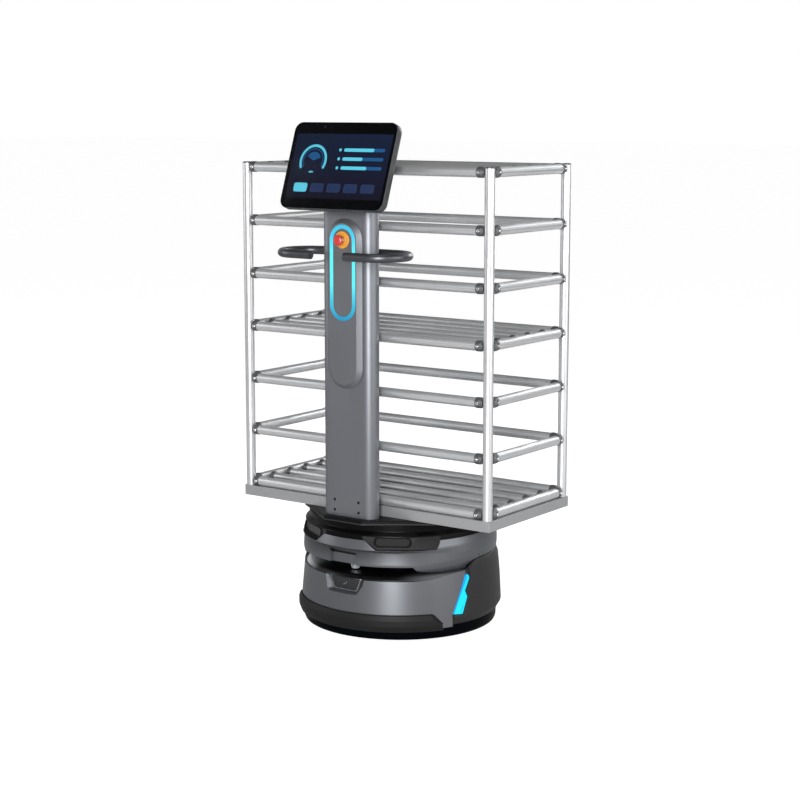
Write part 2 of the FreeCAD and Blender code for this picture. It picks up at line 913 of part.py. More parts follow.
def slit_pocket():
    """A flat notch in the front of the ring, open at its foot, with a deeper slit above it."""
    low, high, top = s.ring_low - 5, s.notch_high, s.slit_high
    notch = front_prism([
        (-s.notch_half, low), (s.notch_half, low), (s.notch_half, high), (-s.notch_half, high),
    ])
    slit = front_prism([
        (-s.notch_half, high), (s.notch_half, high), (s.slit_half, top), (-s.slit_half, top),
    ])
    room = block(300.0, BIG, BIG, 0, s.base_y - NOTCH_DEPTH - BIG / 2, 0)
    slit_room = block(300.0, BIG, BIG, 0, s.base_y - SLIT_DEPTH - BIG / 2, 0)
    return fuse(common(notch, room), common(slit, slit_room))


def window_recess(side):
    """A recess for a camera window, wider at its top, with a long facet on its outer side."""
    low = s.window_low
    high = s.cap_shoulder - 3
    rise = high - low
    face = front_prism(mirrored([
        (-s.window_left, low),
        (s.window_right, low),
        (s.window_right + s.window_right_lean * rise, high),
        (-(s.window_left + s.window_left_lean * rise), high),
    ], side), s.window_turn * side)
    body = new_body()
    end = s.window_right + 60
    plan = polygon(sketch_on(body, "XY_Plane"), mirrored([
        (-end, -WINDOW_DEPTH),
        (-end, -(WINDOW_DEPTH + 90)),
        (end, -(WINDOW_DEPTH + 90)),
        (end, -(WINDOW_DEPTH - s.window_fold_lean * (end - s.window_fold))),
        (s.window_fold, -WINDOW_DEPTH),
    ], side))
    pad(body, plan, high + 5)
    turn = Rotation(Vector(0, 0, 1), (s.window_turn * side).value)
    return common(face, place(body, 0, s.base_y, 0, turn))


def mirrored(points, side):
    if side > 0:
        return points
    return [(-size(x), y) for x, y in reversed(points)]


def window_pockets():
    return [window_recess(side) for side in (-1, 1)]


def camera_window(side):
    """A rounded glass bar on the floor of its recess."""
    body = new_body()
    half = s.window_wide / 2 - s.window_tall / 2
    sketch = stadium(sketch_on(body, "XZ_Plane"), s.window_tall / 2, (-half, 0.0), (half, 0.0))
    pad(body, sketch, s.window_thick)
    turn = Rotation(Vector(0, 0, 1), (s.window_turn * side).value)
    reach = WINDOW_DEPTH + s.seam
    x = reach * sine(s.window_turn) * side
    y = s.base_y - reach * cosine(s.window_turn)
    return place(body, x, y, s.window_high, turn)


def neck_cover():
    """The dark cap on the ring: shoulder, neck and a flat top under the deck plate."""
    wall = s.cap_wall
    cap = turned([
        (0, s.deck_low - wall),
        (RING_INNER - 0.5, s.deck_low - wall),
        (RING_INNER - 0.5, s.ring_top),
        (RING_TOP_RADIUS, s.ring_top),
        (CAP_SHOULDER_RADIUS, s.cap_shoulder),
        (CAP_NECK_RADIUS, s.cap_neck),
        (CAP_NECK_RADIUS, s.deck_low),
        (0, s.deck_low),
    ])
    return cut(cap, *window_pockets())


def deck_plate():
    """A cut-cornered plate with a bevelled upper edge."""
    front, side = DECK_REACH, DECK_SIDE
    half, run = s.deck_front_half, s.deck_side_half
    body = new_body()
    outline = [
        (-half, -front), (half, -front), (side, -run), (side, run),
        (half, front), (-half, front), (-side, run), (-side, -run),
    ]
    pad(body, polygon(sketch_on(body, "XY_Plane"), outline), s.deck_high - s.deck_low)
    doc.recompute()
    slab = body.Tip
    top = slab.Shape.BoundBox.ZMax
    edges = [
        f"Edge{i}" for i, edge in enumerate(slab.Shape.Edges, start=1)
        if edge.BoundBox.ZMin > top - 1e-6
    ]
    bevel = body.newObject("PartDesign::Chamfer", "Bevel")
    bevel.Base = (slab, edges)
    bind(bevel, "Size", s.deck_bevel)
    return place(body, 0, s.base_y, s.deck_low)


# Drive modules


def arm_x(side, outward=0.0):
    """A place across the robot, measured outwards from the arm's inner face."""
    inner = s.wheel_track / 2 - s.wheel_wide / 2 - s.arm_gap - s.arm_thick
    return side * (inner + outward)


def rod_across(radius, length, x, y, z, side):
    """A rod that runs outwards from x, away from the robot's middle."""
    start = x if side > 0 else size(x) - length
    return rod(radius, length, start, y, z, ALONG_X)


PIVOT_Y = s.base_y - s.arm_reach
PIVOT_Z = s.wheel_radius + s.arm_pivot_up


def swing_arm(side):
    """A plate with an eye at the pivot and one at the wheel, a pivot pin and an axle."""
    eye = s.arm_eye_radius
    body = new_body()
    sketch = stadium(
        sketch_on(body, "YZ_Plane"), eye, (0.0, 0.0), (s.arm_reach, 0.0)
    )
    pad(body, sketch, s.arm_thick, both_ways=True)
    droop = math.degrees(math.atan2(s.arm_pivot_up.value, s.arm_reach.value))
    place(body, arm_x(side, s.arm_thick / 2), PIVOT_Y, PIVOT_Z, Rotation(Vector(1, 0, 0), -droop))
    axle = rod_across(
        s.axle_radius, s.arm_gap + s.wheel_wide - 2,
        arm_x(side, s.arm_thick - 1), s.base_y, s.wheel_radius, side,
    )
    reach = s.bracket_gap + s.bracket_thick + 2
    pin = rod_across(s.pivot_radius, reach, arm_x(side, -reach + 1), PIVOT_Y, PIVOT_Z, side)
    return fuse(body, axle, pin)


def drive_bracket(side):
    """An upright with the pivot's bore, standing on a foot on the base plate."""
    inner = arm_x(side, -s.bracket_gap - s.bracket_thick / 2)
    tall = PIVOT_Z + s.arm_eye_radius - PLATE_HIGH
    upright = block(s.bracket_thick, 56.0, tall, inner, PIVOT_Y, PLATE_HIGH)
    foot = block(34.0, 56.0, 5.0, arm_x(side, -s.bracket_gap - 17), PIVOT_Y, PLATE_HIGH)
    bore = rod(s.pivot_radius + s.pin_play, 4 * s.bracket_thick,
               inner - 2 * s.bracket_thick, PIVOT_Y, PIVOT_Z, ALONG_X)
    return cut(fuse(upright, foot), bore)


def drive_hub(side):
    """The motor's drum, running on the arm's axle."""
    drum = s.wheel_radius - s.tyre_thick
    wide = s.wheel_wide
    points = [
        (s.axle_radius + s.pin_play, -wide / 2 + 2),
        (drum, -wide / 2 + 2),
        (drum, wide / 2 - s.hub_dish),
        (s.axle_radius + s.pin_play, wide / 2 - s.hub_dish),
    ]
    turn = ALONG_X if side > 0 else Rotation(Vector(0, 1, 0), -90)
    return turned_here(points, wheel_x(side), s.base_y, s.wheel_radius, turn)


def drive_tyre(side):
    drum = s.wheel_radius - s.tyre_thick
    half = s.wheel_wide / 2
    points = [
        (drum, -half), (s.wheel_radius - 3, -half), (s.wheel_radius, -half + 3),
        (s.wheel_radius, half - 3), (s.wheel_radius - 3, half), (drum, half),
    ]
    return turned_here(points, wheel_x(side), s.base_y, s.wheel_radius, ALONG_X)


# Castors


def castor_places():
    return [
        (f"{end}_{hand}", side * s.castor_x, s.base_y + fore * s.castor_y)
        for end, fore in (("front", -1), ("rear", 1))
        for hand, side in (("left", -1), ("right", 1))
    ]


CROWN_HIGH = s.plate_low - s.castor_plate - s.castor_boss - s.seam


def castor_plate(x, y):
    """A top plate under the base plate, with the swivel's bearing boss below it."""
    high = s.plate_low
    plate = block(s.castor_plate_side, s.castor_plate_side, s.castor_plate, x, y, high - s.castor_plate)
    boss = rod(s.castor_boss_radius, s.castor_boss, x, y, high - s.castor_plate - s.castor_boss)
    bore = rod(s.castor_stem_radius + s.pin_play, 60.0, x, y, high - 50)
    return cut(fuse(plate, boss), bore)


def castor_fork(x, y):
    """Crown, two cheeks, stem and axle in one piece; it trails towards the rear."""
    axle_y = size(y) + s.castor_trail
    inside = s.castor_wide + 3
    wide = inside + 2 * s.castor_cheek
    crown = block(wide, s.castor_trail + 34, s.castor_crown, x,
                  size(y) + s.castor_trail / 2, CROWN_HIGH - s.castor_crown)
    low = s.castor_radius - 8
    tall = CROWN_HIGH - s.castor_crown - low
    offset = inside / 2 + s.castor_cheek / 2
    cheeks = [
        block(s.castor_cheek, 22.0, tall, size(x) + hand * offset, axle_y, low) for hand in (-1, 1)
    ]
    stem = rod(s.castor_stem_radius, s.castor_plate + s.castor_boss + s.seam, x, y, CROWN_HIGH)
    axle = rod(s.castor_axle_radius, wide, size(x) - wide / 2, axle_y, s.castor_radius, ALONG_X)
    return fuse(crown, *cheeks, stem, axle)


def castor_wheel(x, y):
    half = s.castor_wide / 2
    bore = s.castor_axle_radius + s.pin_play
    points = [(bore, -half), (s.castor_radius, -half), (s.castor_radius, half), (bore, half)]
    return turned_here(points, x, size(y) + s.castor_trail, s.castor_radius, ALONG_X)


# Inside the base


def battery():
    return block(s.battery_wide, s.battery_deep, s.battery_tall, 0,
                 s.base_y + s.battery_y, PLATE_HIGH)


def controller():
    y = s.base_y + s.controller_y
    case = block(s.controller_wide, s.controller_deep, s.controller_tall, 0, y, PLATE_HIGH)
    fins = [
        block(s.controller_wide - 20, 4.0, 8.0, 0, y - 45 + 15 * i, PLATE_HIGH + s.controller_tall)
        for i in range(7)
    ]
    return fuse(case, *fins)


SCANNER_Y = s.base_y - (s.base_radius - s.scanner_in)


def scanner_base():
    """The scanner's fixed flange under the slot's roof, with the spigot that its head turns on."""
    low = s.slot_roof - s.scanner_base
    flange = rod(s.scanner_base_radius, s.scanner_base, 0, SCANNER_Y, low)
    spigot = rod(s.scanner_spigot, s.scanner_spigot_long + 1, 0, SCANNER_Y, low - s.scanner_spigot_long)
    return fuse(flange, spigot)


def scanner_head():
    """The turning drum below the flange, narrower at its foot."""
    high = s.slot_roof - s.scanner_base - s.seam
    head = cone(s.scanner_foot_radius, s.scanner_radius, s.scanner_hang, 0, SCANNER_Y, high - s.scanner_hang)
    deep = s.scanner_spigot_long + s.pin_play
    well = rod(s.scanner_spigot + s.pin_play, deep + 1, 0, SCANNER_Y, high - deep)
    return cut(head, well)


# Column and its control panel


def column_bar(inset, low, high):
    """A bar of the column's stadium section, smaller all round by an inset."""
    body = new_body()
    half = s.column_flat / 2
    sketch = stadium(
        sketch_on(body, "XY_Plane"), s.column_depth / 2 - inset, (-half, 0.0), (half, 0.0)
    )
    pad(body, sketch, size(high) - low)
    return place(body, 0, COLUMN_Y, low)


def screw_places():
    return [
        (hand * s.screw_x / 2, s.screw_low + row * s.screw_pitch)
        for hand in (-1, 1) for row in (0, 1)
    ]


def column():
    outer = column_bar(0.0, s.deck_high, s.column_top)
    inner = column_bar(s.column_wall, s.deck_high - 1, s.column_top + 1)
    holes = [
        octagon(s.screw_radius + s.seam, s.column_wall * 3, x, s.column_front + s.column_wall * 2,
            z, TOWARD_FRONT)
        for x, z in screw_places()
    ]
    return cut(outer, inner, *holes)


def column_foot():
    """The block on the deck plate that the column is screwed to."""
    return block(s.foot_wide, s.foot_depth, s.foot_tall, 0, COLUMN_Y, s.deck_high)


def column_screws():
    """Four screw heads sunk in the column's front wall, down to the foot block."""
    head_y = s.column_front + 0.8
    deep = COLUMN_Y - s.foot_depth / 2 - head_y
    heads = [
        octagon(s.screw_radius, deep, x, head_y, z, ALONG_Y) for x, z in screw_places()
    ]
    return group(*heads)


def pill(half, low, high, thick, face_y):
    """An upright pill on a plane facing -Y; it is as thick as said, out from face_y."""
    body = new_body()
    sketch = stadium(
        sketch_on(body, "XZ_Plane"), half, (0.0, size(low) + half), (0.0, size(high) - half)
    )
    pad(body, sketch, thick)
    return place(body, 0, face_y, 0)


POD_FACE = s.column_front - s.pod_thick


def control_pod():
    pod = pill(s.pod_half, s.pod_low, s.pod_high, s.pod_thick, s.column_front)
    doc.recompute()
    slab = pod.Tip
    face = slab.Shape.BoundBox.YMin
    edges = [
        f"Edge{i}" for i, edge in enumerate(slab.Shape.Edges, start=1)
        if edge.BoundBox.YMax < face + 1e-6
    ]
    slope = pod.newObject("PartDesign::Chamfer", "Slope")
    slope.Base = (slab, edges)
    bind(slope, "Size", s.pod_slope)
    g = s.seam
    groove_y = POD_FACE + s.loop_thick - s.loop_proud + g
    outer = pill(s.loop_half + g, s.loop_low - g, s.loop_high + g, 20.0, groove_y)
    inner_half = s.loop_half - s.loop_band - g
    inner = pill(inner_half, s.loop_low + s.loop_band + g, s.loop_high - s.loop_band - g,
                 40.0, groove_y + 10)
    groove = cut(outer, inner)
    bore = rod(s.stop_bore, 40.0, 0, POD_FACE + 20, s.stop_high, TOWARD_FRONT)
    return cut(pod, groove, bore)


def light_loop():
    back = POD_FACE + s.loop_thick - s.loop_proud
    outer = pill(s.loop_half, s.loop_low, s.loop_high, s.loop_thick, back)
    inner = pill(s.loop_half - s.loop_band, s.loop_low + s.loop_band, s.loop_high - s.loop_band,
                 s.loop_thick * 3, back + s.loop_thick)
    return cut(outer, inner)


def stop_collar():
    """The yellow ring with the metal neck, around the plunger."""
    ring = cone(s.stop_ring_radius, s.stop_ring_radius - 1.5, s.stop_ring, 0, POD_FACE,
                s.stop_high, TOWARD_FRONT)
    neck = rod(s.stop_neck_radius, s.stop_ring + s.stop_neck, 0, POD_FACE, s.stop_high, TOWARD_FRONT)
    bore = rod(s.stop_bore, 60.0, 0, POD_FACE + 30, s.stop_high, TOWARD_FRONT)
    return cut(fuse(ring, neck), bore)


STOP_TIP = POD_FACE - s.stop_ring - s.stop_neck - s.stop_travel - 1


def stop_stem():
    """The plunger that slides in the collar."""
    start = POD_FACE + s.stop_sink
    long = start - STOP_TIP + s.stop_head_socket
    return rod(s.stop_stem_radius, long, 0, start, s.stop_high, TOWARD_FRONT)


def stop_head():
    """The red mushroom head, which turns on the plunger to release it."""
    radius = s.stop_head_radius
    deep = s.stop_head
    head = turned_here([
        (0, 0), (radius, 0), (radius, deep / 2), (radius * 0.7, deep), (0, deep),
    ], 0, STOP_TIP, s.stop_high, TOWARD_FRONT)
    socket = rod(s.stop_stem_radius + s.pin_play, s.stop_head_socket + 1 + s.pin_play, 0,
                 STOP_TIP + 1, s.stop_high, TOWARD_FRONT)
    return cut(head, socket)


# Handlebar


def handlebar():
    """One bent bar: it runs behind the column, comes forward at both sides and turns back in.

    Its round section is drawn in twelve flats.
    """
    body = new_body()
    bend = (s.bar_rear - s.bar_front) / 2
    path = sketch_on(body, "XY_Plane")
    r, x, end = bend.value, s.bar_bend_x.value, s.bar_end_x.value
    quarter = math.pi / 2
    up = Vector(0, 0, 1)
    path.addGeometry(Part.LineSegment(Vector(end, -r, 0), Vector(x, -r, 0)))
    path.addGeometry(Part.ArcOfCircle(Part.Circle(Vector(x, 0, 0), up, r), -quarter, quarter))
    path.addGeometry(Part.LineSegment(Vector(x, r, 0), Vector(-x, r, 0)))
    path.addGeometry(
        Part.ArcOfCircle(Part.Circle(Vector(-x, 0, 0), up, r), quarter, 3 * quarter)
    )
    path.addGeometry(Part.LineSegment(Vector(-x, -r, 0), Vector(-end, -r, 0)))
    for i in range(4):
        path.addConstraint(Sketcher.Constraint("Tangent", i, 2, i + 1, 1))
    pin_point(path, 1, 3, s.bar_bend_x, 0.0)
    pin_point(path, 3, 3, -s.bar_bend_x, 0.0)
    pin_point(path, 0, 1, s.bar_end_x, -bend)
    pin_point(path, 4, 2, -s.bar_end_x, -bend)
    corner = s.bar_radius * DODECAGON
    turns = [math.radians(15 + 30 * i) for i in range(12)]
    section = polygon(sketch_on(body, "YZ_Plane"), [
        (bend + corner * math.cos(a), corner * math.sin(a)) for a in turns
    ])
    sweep = body.newObject("PartDesign::AdditivePipe", "Tube")
    sweep.Profile = section
    sweep.Spine = (path, [])
    return place(body, 0, (s.bar_rear + s.bar_front) / 2, s.bar_high)


def handlebar_caps():
    """A flat cap on each free end."""
    return group(
        rod(s.bar_radius, s.bar_cap, -s.bar_end_x, s.bar_front, s.bar_high, ALONG_X),
        rod(s.bar_radius, s.bar_cap, s.bar_end_x - s.bar_cap, s.bar_front, s.bar_high, ALONG_X),
    )


def handlebar_clamp():
    """A saddle on the column's back that grips the tube."""
    back = s.column_front + s.column_depth
    deep = s.bar_rear - back + s.bar_radius - 1
    saddle = block(s.clamp_wide, deep, s.clamp_tall, 0, back + deep / 2, s.bar_high - s.clamp_tall / 2)
    seat = rod(s.bar_radius + s.seam, 2 * s.clamp_wide, -s.clamp_wide, s.bar_rear, s.bar_high, ALONG_X)
    return cut(saddle, seat)


# Screen: built flat with its glass facing +Z, then tilted back

def tilted(thing):
    """Turn a flat-built piece up, so that its glass faces the viewer and leans back."""
    stand = Rotation(Vector(1, 0, 0), 90 - s.screen_tilt.value)
    return place(thing, 0, s.screen_y, s.screen_high, stand)


def rounded_slab(wide, tall, low, high, corner, up=0.0):
    """A slab with round corners, between two depths behind the glass's face."""
    half, rise = size(wide) / 2, size(tall) / 2
    body = new_body()
    sketch = polygon(sketch_on(body, "XY_Plane"), [
        (-half, up - rise), (half, up - rise), (half, up + rise), (-half, up + rise),
    ])
    bind(sketch, "AttachmentOffset.Base.z", low)
    pad(body, sketch, size(high) - low)
    doc.recompute()
    slab = body.Tip
    edges = [
        f"Edge{i}" for i, edge in enumerate(slab.Shape.Edges, start=1)
        if edge.BoundBox.ZLength > 1e-3
    ]
    rounding = body.newObject("PartDesign::Fillet", "Corners")
    rounding.Base = (slab, edges)
    bind(rounding, "Radius", corner)
    doc.recompute()
    return body


def soften_back(body, amount):
    """Chamfer the rear rim of a slab."""
    slab = body.Tip
    back = slab.Shape.BoundBox.ZMin
    edges = [
        f"Edge{i}" for i, edge in enumerate(slab.Shape.Edges, start=1)
        if edge.BoundBox.ZMax < back + 1e-6
    ]
    rim = body.newObject("PartDesign::Chamfer", "Rim")
    rim.Base = (slab, edges)
    bind(rim, "Size", amount)
    return body


def screen_back():
    """The rear housing: a tray that holds the glass and the display behind it."""
    up = s.screen_up
    shell = rounded_slab(s.screen_wide, s.screen_tall, -s.screen_thick, -0.4, s.screen_corner, up)
    soften_back(shell, s.screen_edge)
    glass_room = rounded_slab(
        s.screen_wide - 2 * s.glass_inset + 0.4, s.screen_tall - 2 * s.glass_inset + 0.4,
        -s.glass_thick - 0.2, 5.0, s.screen_corner - s.glass_inset, up,
    )
    display_room = block(
        s.active_wide + 2, s.active_tall + 2, 10.0, 0, 0, -s.glass_thick - s.active_thick - 0.5
    )
    key_room = block(s.key_wide + 0.6, 40.0, s.key_deep + 0.6, s.key_x,
                     up + s.screen_tall / 2 + 13.5, -s.screen_thick / 2 - s.key_deep / 2 - 0.3)
    ports = [
        block(9.0, 14.0, 5.0, x, up - s.screen_tall / 2 + 3, -s.screen_thick / 2 - 2)
        for x in (-140.0, -105.0)
    ]
    return tilted(cut(shell, glass_room, display_room, key_room, *ports))


def screen_glass():
    glass = rounded_slab(
        s.screen_wide - 2 * s.glass_inset, s.screen_tall - 2 * s.glass_inset,
        -s.glass_thick, 0.0, s.screen_corner - s.glass_inset, s.screen_up,
    )
    return tilted(glass)


def screen_panel():
    """The lit display behind the glass."""
    low = -s.glass_thick - s.active_thick
    flat = block(s.active_wide, s.active_tall, s.active_thick, 0, 0, low)
    return tilted(group(flat))


def screen_key():
    """The key on the screen's upper edge."""
    top = s.screen_up + s.screen_tall / 2
    deep = 6.0
    key = block(s.key_wide, s.key_proud + deep - s.key_travel, s.key_deep, s.key_x,
                top + s.key_proud - (s.key_proud + deep - s.key_travel) / 2,
                -s.screen_thick / 2 - s.key_deep / 2)
    return tilted(group(key))


def screen_mount():
    """A plug in the column's top with a bent plate up to the screen's back."""
    plug = column_bar(s.column_wall + 0.1, s.column_top - 24, s.column_top)
    lid = column_bar(0.5, s.column_top, s.column_top + s.mount_plate)
    tilt = s.screen_tilt
    back = s.screen_thick + s.mount_plate / 2
    # middle of the mounting plate on the screen's back
    plate_y = s.screen_y + back * cosine(tilt) + 10 * sine(tilt)
    plate_z = s.screen_high - back * sine(tilt) + 10 * cosine(tilt)
    plate = doc.addObject("Part::Box", "Plate")
    bind(plate, "Length", s.mount_wide)
    bind(plate, "Width", s.mount_tall)
    bind(plate, "Height", s.mount_plate)
    stand = Rotation(Vector(1, 0, 0), 90 - tilt.value)
    half = s.mount_tall / 2
    place(plate, -s.mount_wide / 2,
          plate_y - half * sine(tilt) + s.mount_plate / 2 * cosine(tilt),
          plate_z - half * cosine(tilt) - s.mount_plate / 2 * sine(tilt), stand)
    ribs = []
    for hand in (-1, 1):
        rib = new_body()
        low = s.column_top
        outline = [
            (COLUMN_Y + 18, low),
            (COLUMN_Y + 18, low + 20),
            (plate_y + half * sine(tilt) * 0.8, plate_z + half * cosine(tilt) * 0.8),
            (plate_y - half * sine(tilt) * 0.6, plate_z - half * cosine(tilt) * 0.6),
            (COLUMN_Y - 18, low),
        ]
        pad(rib, polygon(sketch_on(rib, "YZ_Plane"), outline), 4.0, both_ways=True)
        ribs.append(place(rib, hand * (s.mount_wide / 2 - 12), 0, 0))
    return fuse(plug, lid, plate, *ribs)


# Rack


def post_places():
    return [
        (hand * s.post_x / 2, RACK_Y + fore * s.post_y / 2)
        for hand in (-1, 1) for fore in (-1, 1)
    ]


TRAY_HIGH = s.deck_high + s.tray_tall


def tray():
    """A hollow frame of bars, with two cross bars that sit on the deck plate."""
    y, low, tall = RACK_Y, s.deck_high, s.tray_tall
    frame = cut(
        block(TRAY_WIDE, TRAY_DEEP, tall, 0, y, low),
        block(TRAY_WIDE - 2 * s.tray_rim, TRAY_DEEP - 2 * s.tray_rim, 3 * tall, 0, y, low - tall),
    )
    bars = [
        block(s.tray_rim, TRAY_DEEP - s.tray_rim, tall, hand * s.tray_cross_x, y, low)
        for hand in (-1, 1)
    ]
    return fuse(frame, *bars)


def posts():
    tall = s.post_top - TRAY_HIGH
    return group(*[
        tube(s.tube_radius, s.tube_wall, tall, x, y, TRAY_HIGH) for x, y in post_places()
    ])


def post_caps():
    """A cap on each post, with a plug in the tube."""
    caps = []
    for x, y in post_places():
        head = bar(s.tube_radius, s.post_cap, x, y, s.post_top)
        plug = bar(s.tube_radius - s.tube_wall - s.seam, s.post_plug, x, y, s.post_top - s.post_plug)
        caps.append(fuse(head, plug))
    return group(*caps)


def rail_heights():
    return [s.first_rail + level * s.rail_pitch for level in range(RAIL_LEVELS)]


# The gap from a post's axis to the end of a rail's tube
RAIL_SETBACK = s.tube_radius + s.link_long


def long_rails():
    """The rails along X, front and rear. Their bores are closed by the links, so they stay solid."""
    long = s.post_x - 2 * RAIL_SETBACK
    return group(*[
        bar(s.tube_radius, long, -long / 2, RACK_Y + fore * s.post_y / 2, z, ALONG_X)
        for z in rail_heights() for fore in (-1, 1)
    ])


def side_rails():
    """The rails along Y, at the left and the right."""
    long = s.post_y - 2 * RAIL_SETBACK
    return group(*[
        bar(s.tube_radius, long, hand * s.post_x / 2, RACK_Y - long / 2, z, ALONG_Y)
        for z in rail_heights() for hand in (-1, 1)
    ])


def rail_links():
    """The cast links: one from each rail end to its post, and one at each end of a slat."""
    links = []
    seat = s.tube_radius + s.link_play
    long = RAIL_SETBACK - seat
    for z in rail_heights():
        for x, y in post_places():
            inward_x = -1 if x.value > 0 else 1
            inward_y = -1 if y.value > RACK_Y.value else 1
            start_x = x + seat if inward_x > 0 else x - RAIL_SETBACK
            start_y = y + seat if inward_y > 0 else y - RAIL_SETBACK
            links.append(octagon(s.link_radius, long, start_x, y, z, ALONG_X))
            links.append(octagon(s.link_radius, long, x, start_y, z, ALONG_Y))
    for z in shelf_heights():
        for y in slat_places():
            for hand in (-1, 1):
                inner = s.post_x / 2 - s.tube_radius
                start = -inner if hand < 0 else inner - s.slat_link
                links.append(octagon(s.slat_link_radius, s.slat_link, start, y, z, ALONG_X))
    return group(*links)


def shelf_heights():
    return [s.first_rail + level * s.rail_pitch for level in SHELF_LEVELS]


def slat_places():
    middle = (SLATS - 1) / 2
    return [RACK_Y + (i - middle) * s.slat_pitch for i in range(SLATS)]


def slats():
    """The tubes that carry a shelf's load, along X between the side rails."""
    long = s.post_x - 2 * s.tube_radius - 2 * s.slat_link
    return group(*[
        bar(s.slat_radius, long, -long / 2, y, z, ALONG_X)
        for z in shelf_heights() for y in slat_places()
    ])


# The sub-parts

node(skirt(), "skirt")
node(base_plate(), "base_plate")
node(lower_shell(), "lower_shell")
node(side_shell(-1), "side_shell_left")
node(side_shell(1), "side_shell_right")
node(rear_cover(), "rear_cover")
node(bumper(), "bumper")
node(slot_liner(), "slot_liner")
node(upper_shell(), "upper_shell")
node(neck_cover(), "neck_cover")
node(deck_plate(), "deck_plate")
node(group(*[camera_window(side) for side in (-1, 1)]), "camera_windows")
node(sensor_panel(), "sensor_panel")
node(group(*[side_lens(side) for side in (-1, 1)]), "side_lenses")
node(group(*[tail_lens(side) for side in (-1, 1)]), "tail_lenses")
node(scanner_base(), "scanner_base")
node(scanner_head(), "scanner_head")
node(battery(), "battery")
node(controller(), "controller")
node(charge_contacts(), "charge_contacts")
node(power_button(), "power_button")
node(group(*[drive_bracket(side) for side in (-1, 1)]), "drive_brackets")
for hand, side in (("left", -1), ("right", 1)):
    node(swing_arm(side), f"swing_arm_{hand}")
    node(drive_hub(side), f"drive_hub_{hand}")
    node(drive_tyre(side), f"drive_tyre_{hand}")
node(group(*[castor_plate(x, y) for _, x, y in castor_places()]), "castor_plates")
for corner, x, y in castor_places():
    node(castor_fork(x, y), f"castor_fork_{corner}")
    node(castor_wheel(x, y), f"castor_wheel_{corner}")
node(column(), "column")
node(column_foot(), "column_foot")
node(column_screws(), "column_screws")
node(control_pod(), "control_pod")
node(light_loop(), "light_loop")
node(stop_collar(), "stop_collar")
node(stop_stem(), "stop_stem")
node(stop_head(), "stop_head")
node(handlebar(), "handlebar")
node(handlebar_caps(), "handlebar_caps")
node(handlebar_clamp(), "handlebar_clamp")
node(screen_mount(), "screen_mount")
node(screen_back(), "screen_back")
node(screen_glass(), "screen_glass")
node(screen_panel(), "screen_panel")
node(screen_key(), "screen_key")
node(tray(), "tray")
node(posts(), "posts")
node(post_caps(), "post_caps")
node(long_rails(), "long_rails")
node(side_rails(), "side_rails")
node(rail_links(), "rail_links")
node(slats(), "slats")

doc.recompute()

for thing in doc.Objects:
    if "Invalid" in thing.State or "Error" in thing.State:
        raise RuntimeError(f"{thing.Name} ({thing.Label}) failed: {thing.State}")
for thing in nodes:
    if thing.Shape.isNull() or not thing.Shape.isValid() or not thing.Shape.Solids:
        raise RuntimeError(f"{thing.Label} has no valid solid")
    thing.Shape.exportStep(f"parts/{thing.Label}.step")
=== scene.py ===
"""Dresses the autonomous mobile robot: detailed pieces, finishes, light and camera."""

import math

import bmesh
import bpy
from mathutils import Matrix, Vector


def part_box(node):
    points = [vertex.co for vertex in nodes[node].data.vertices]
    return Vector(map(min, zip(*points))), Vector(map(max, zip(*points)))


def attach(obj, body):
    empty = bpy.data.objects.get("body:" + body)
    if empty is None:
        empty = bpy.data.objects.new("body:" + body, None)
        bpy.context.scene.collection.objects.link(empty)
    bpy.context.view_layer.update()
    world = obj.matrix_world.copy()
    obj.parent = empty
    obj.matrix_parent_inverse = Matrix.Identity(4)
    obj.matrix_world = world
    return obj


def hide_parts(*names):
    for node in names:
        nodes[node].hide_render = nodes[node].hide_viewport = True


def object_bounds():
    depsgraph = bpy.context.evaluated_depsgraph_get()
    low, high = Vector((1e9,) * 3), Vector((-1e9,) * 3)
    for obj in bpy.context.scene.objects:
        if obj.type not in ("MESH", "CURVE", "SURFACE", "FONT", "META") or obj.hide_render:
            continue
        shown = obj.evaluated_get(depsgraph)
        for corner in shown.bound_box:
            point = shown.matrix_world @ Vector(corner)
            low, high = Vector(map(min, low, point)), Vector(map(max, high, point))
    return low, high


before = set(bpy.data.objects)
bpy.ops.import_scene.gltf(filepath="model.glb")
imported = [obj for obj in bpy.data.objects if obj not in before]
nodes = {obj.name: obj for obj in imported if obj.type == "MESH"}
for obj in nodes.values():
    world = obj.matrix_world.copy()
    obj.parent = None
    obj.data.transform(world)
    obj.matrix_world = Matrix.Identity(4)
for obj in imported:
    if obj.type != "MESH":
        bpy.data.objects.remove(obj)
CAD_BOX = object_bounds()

# Sizes are in millimetres here and become metres when a mesh is made
MM = 0.001
SMOOTH_ANGLE = 28
BEVEL_SMOOTH_ANGLE = 40

scene = bpy.context.scene


def node_box(name):
    """Lowest and highest corner of a CAD node, in millimetres."""
    low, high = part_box(name)
    return Vector(low) / MM, Vector(high) / MM


SKIRT_LOW, SKIRT_HIGH = node_box("skirt")
BASE_Y = (SKIRT_LOW.y + SKIRT_HIGH.y) / 2


# Outlines and profiles in two dimensions


def arc(centre, radius, start, end, count):
    """Points on an arc, both ends included; angles in degrees."""
    points = []
    for i in range(count + 1):
        angle = math.radians(start + (end - start) * i / count)
        points.append((centre[0] + radius * math.cos(angle), centre[1] + radius * math.sin(angle)))
    return points


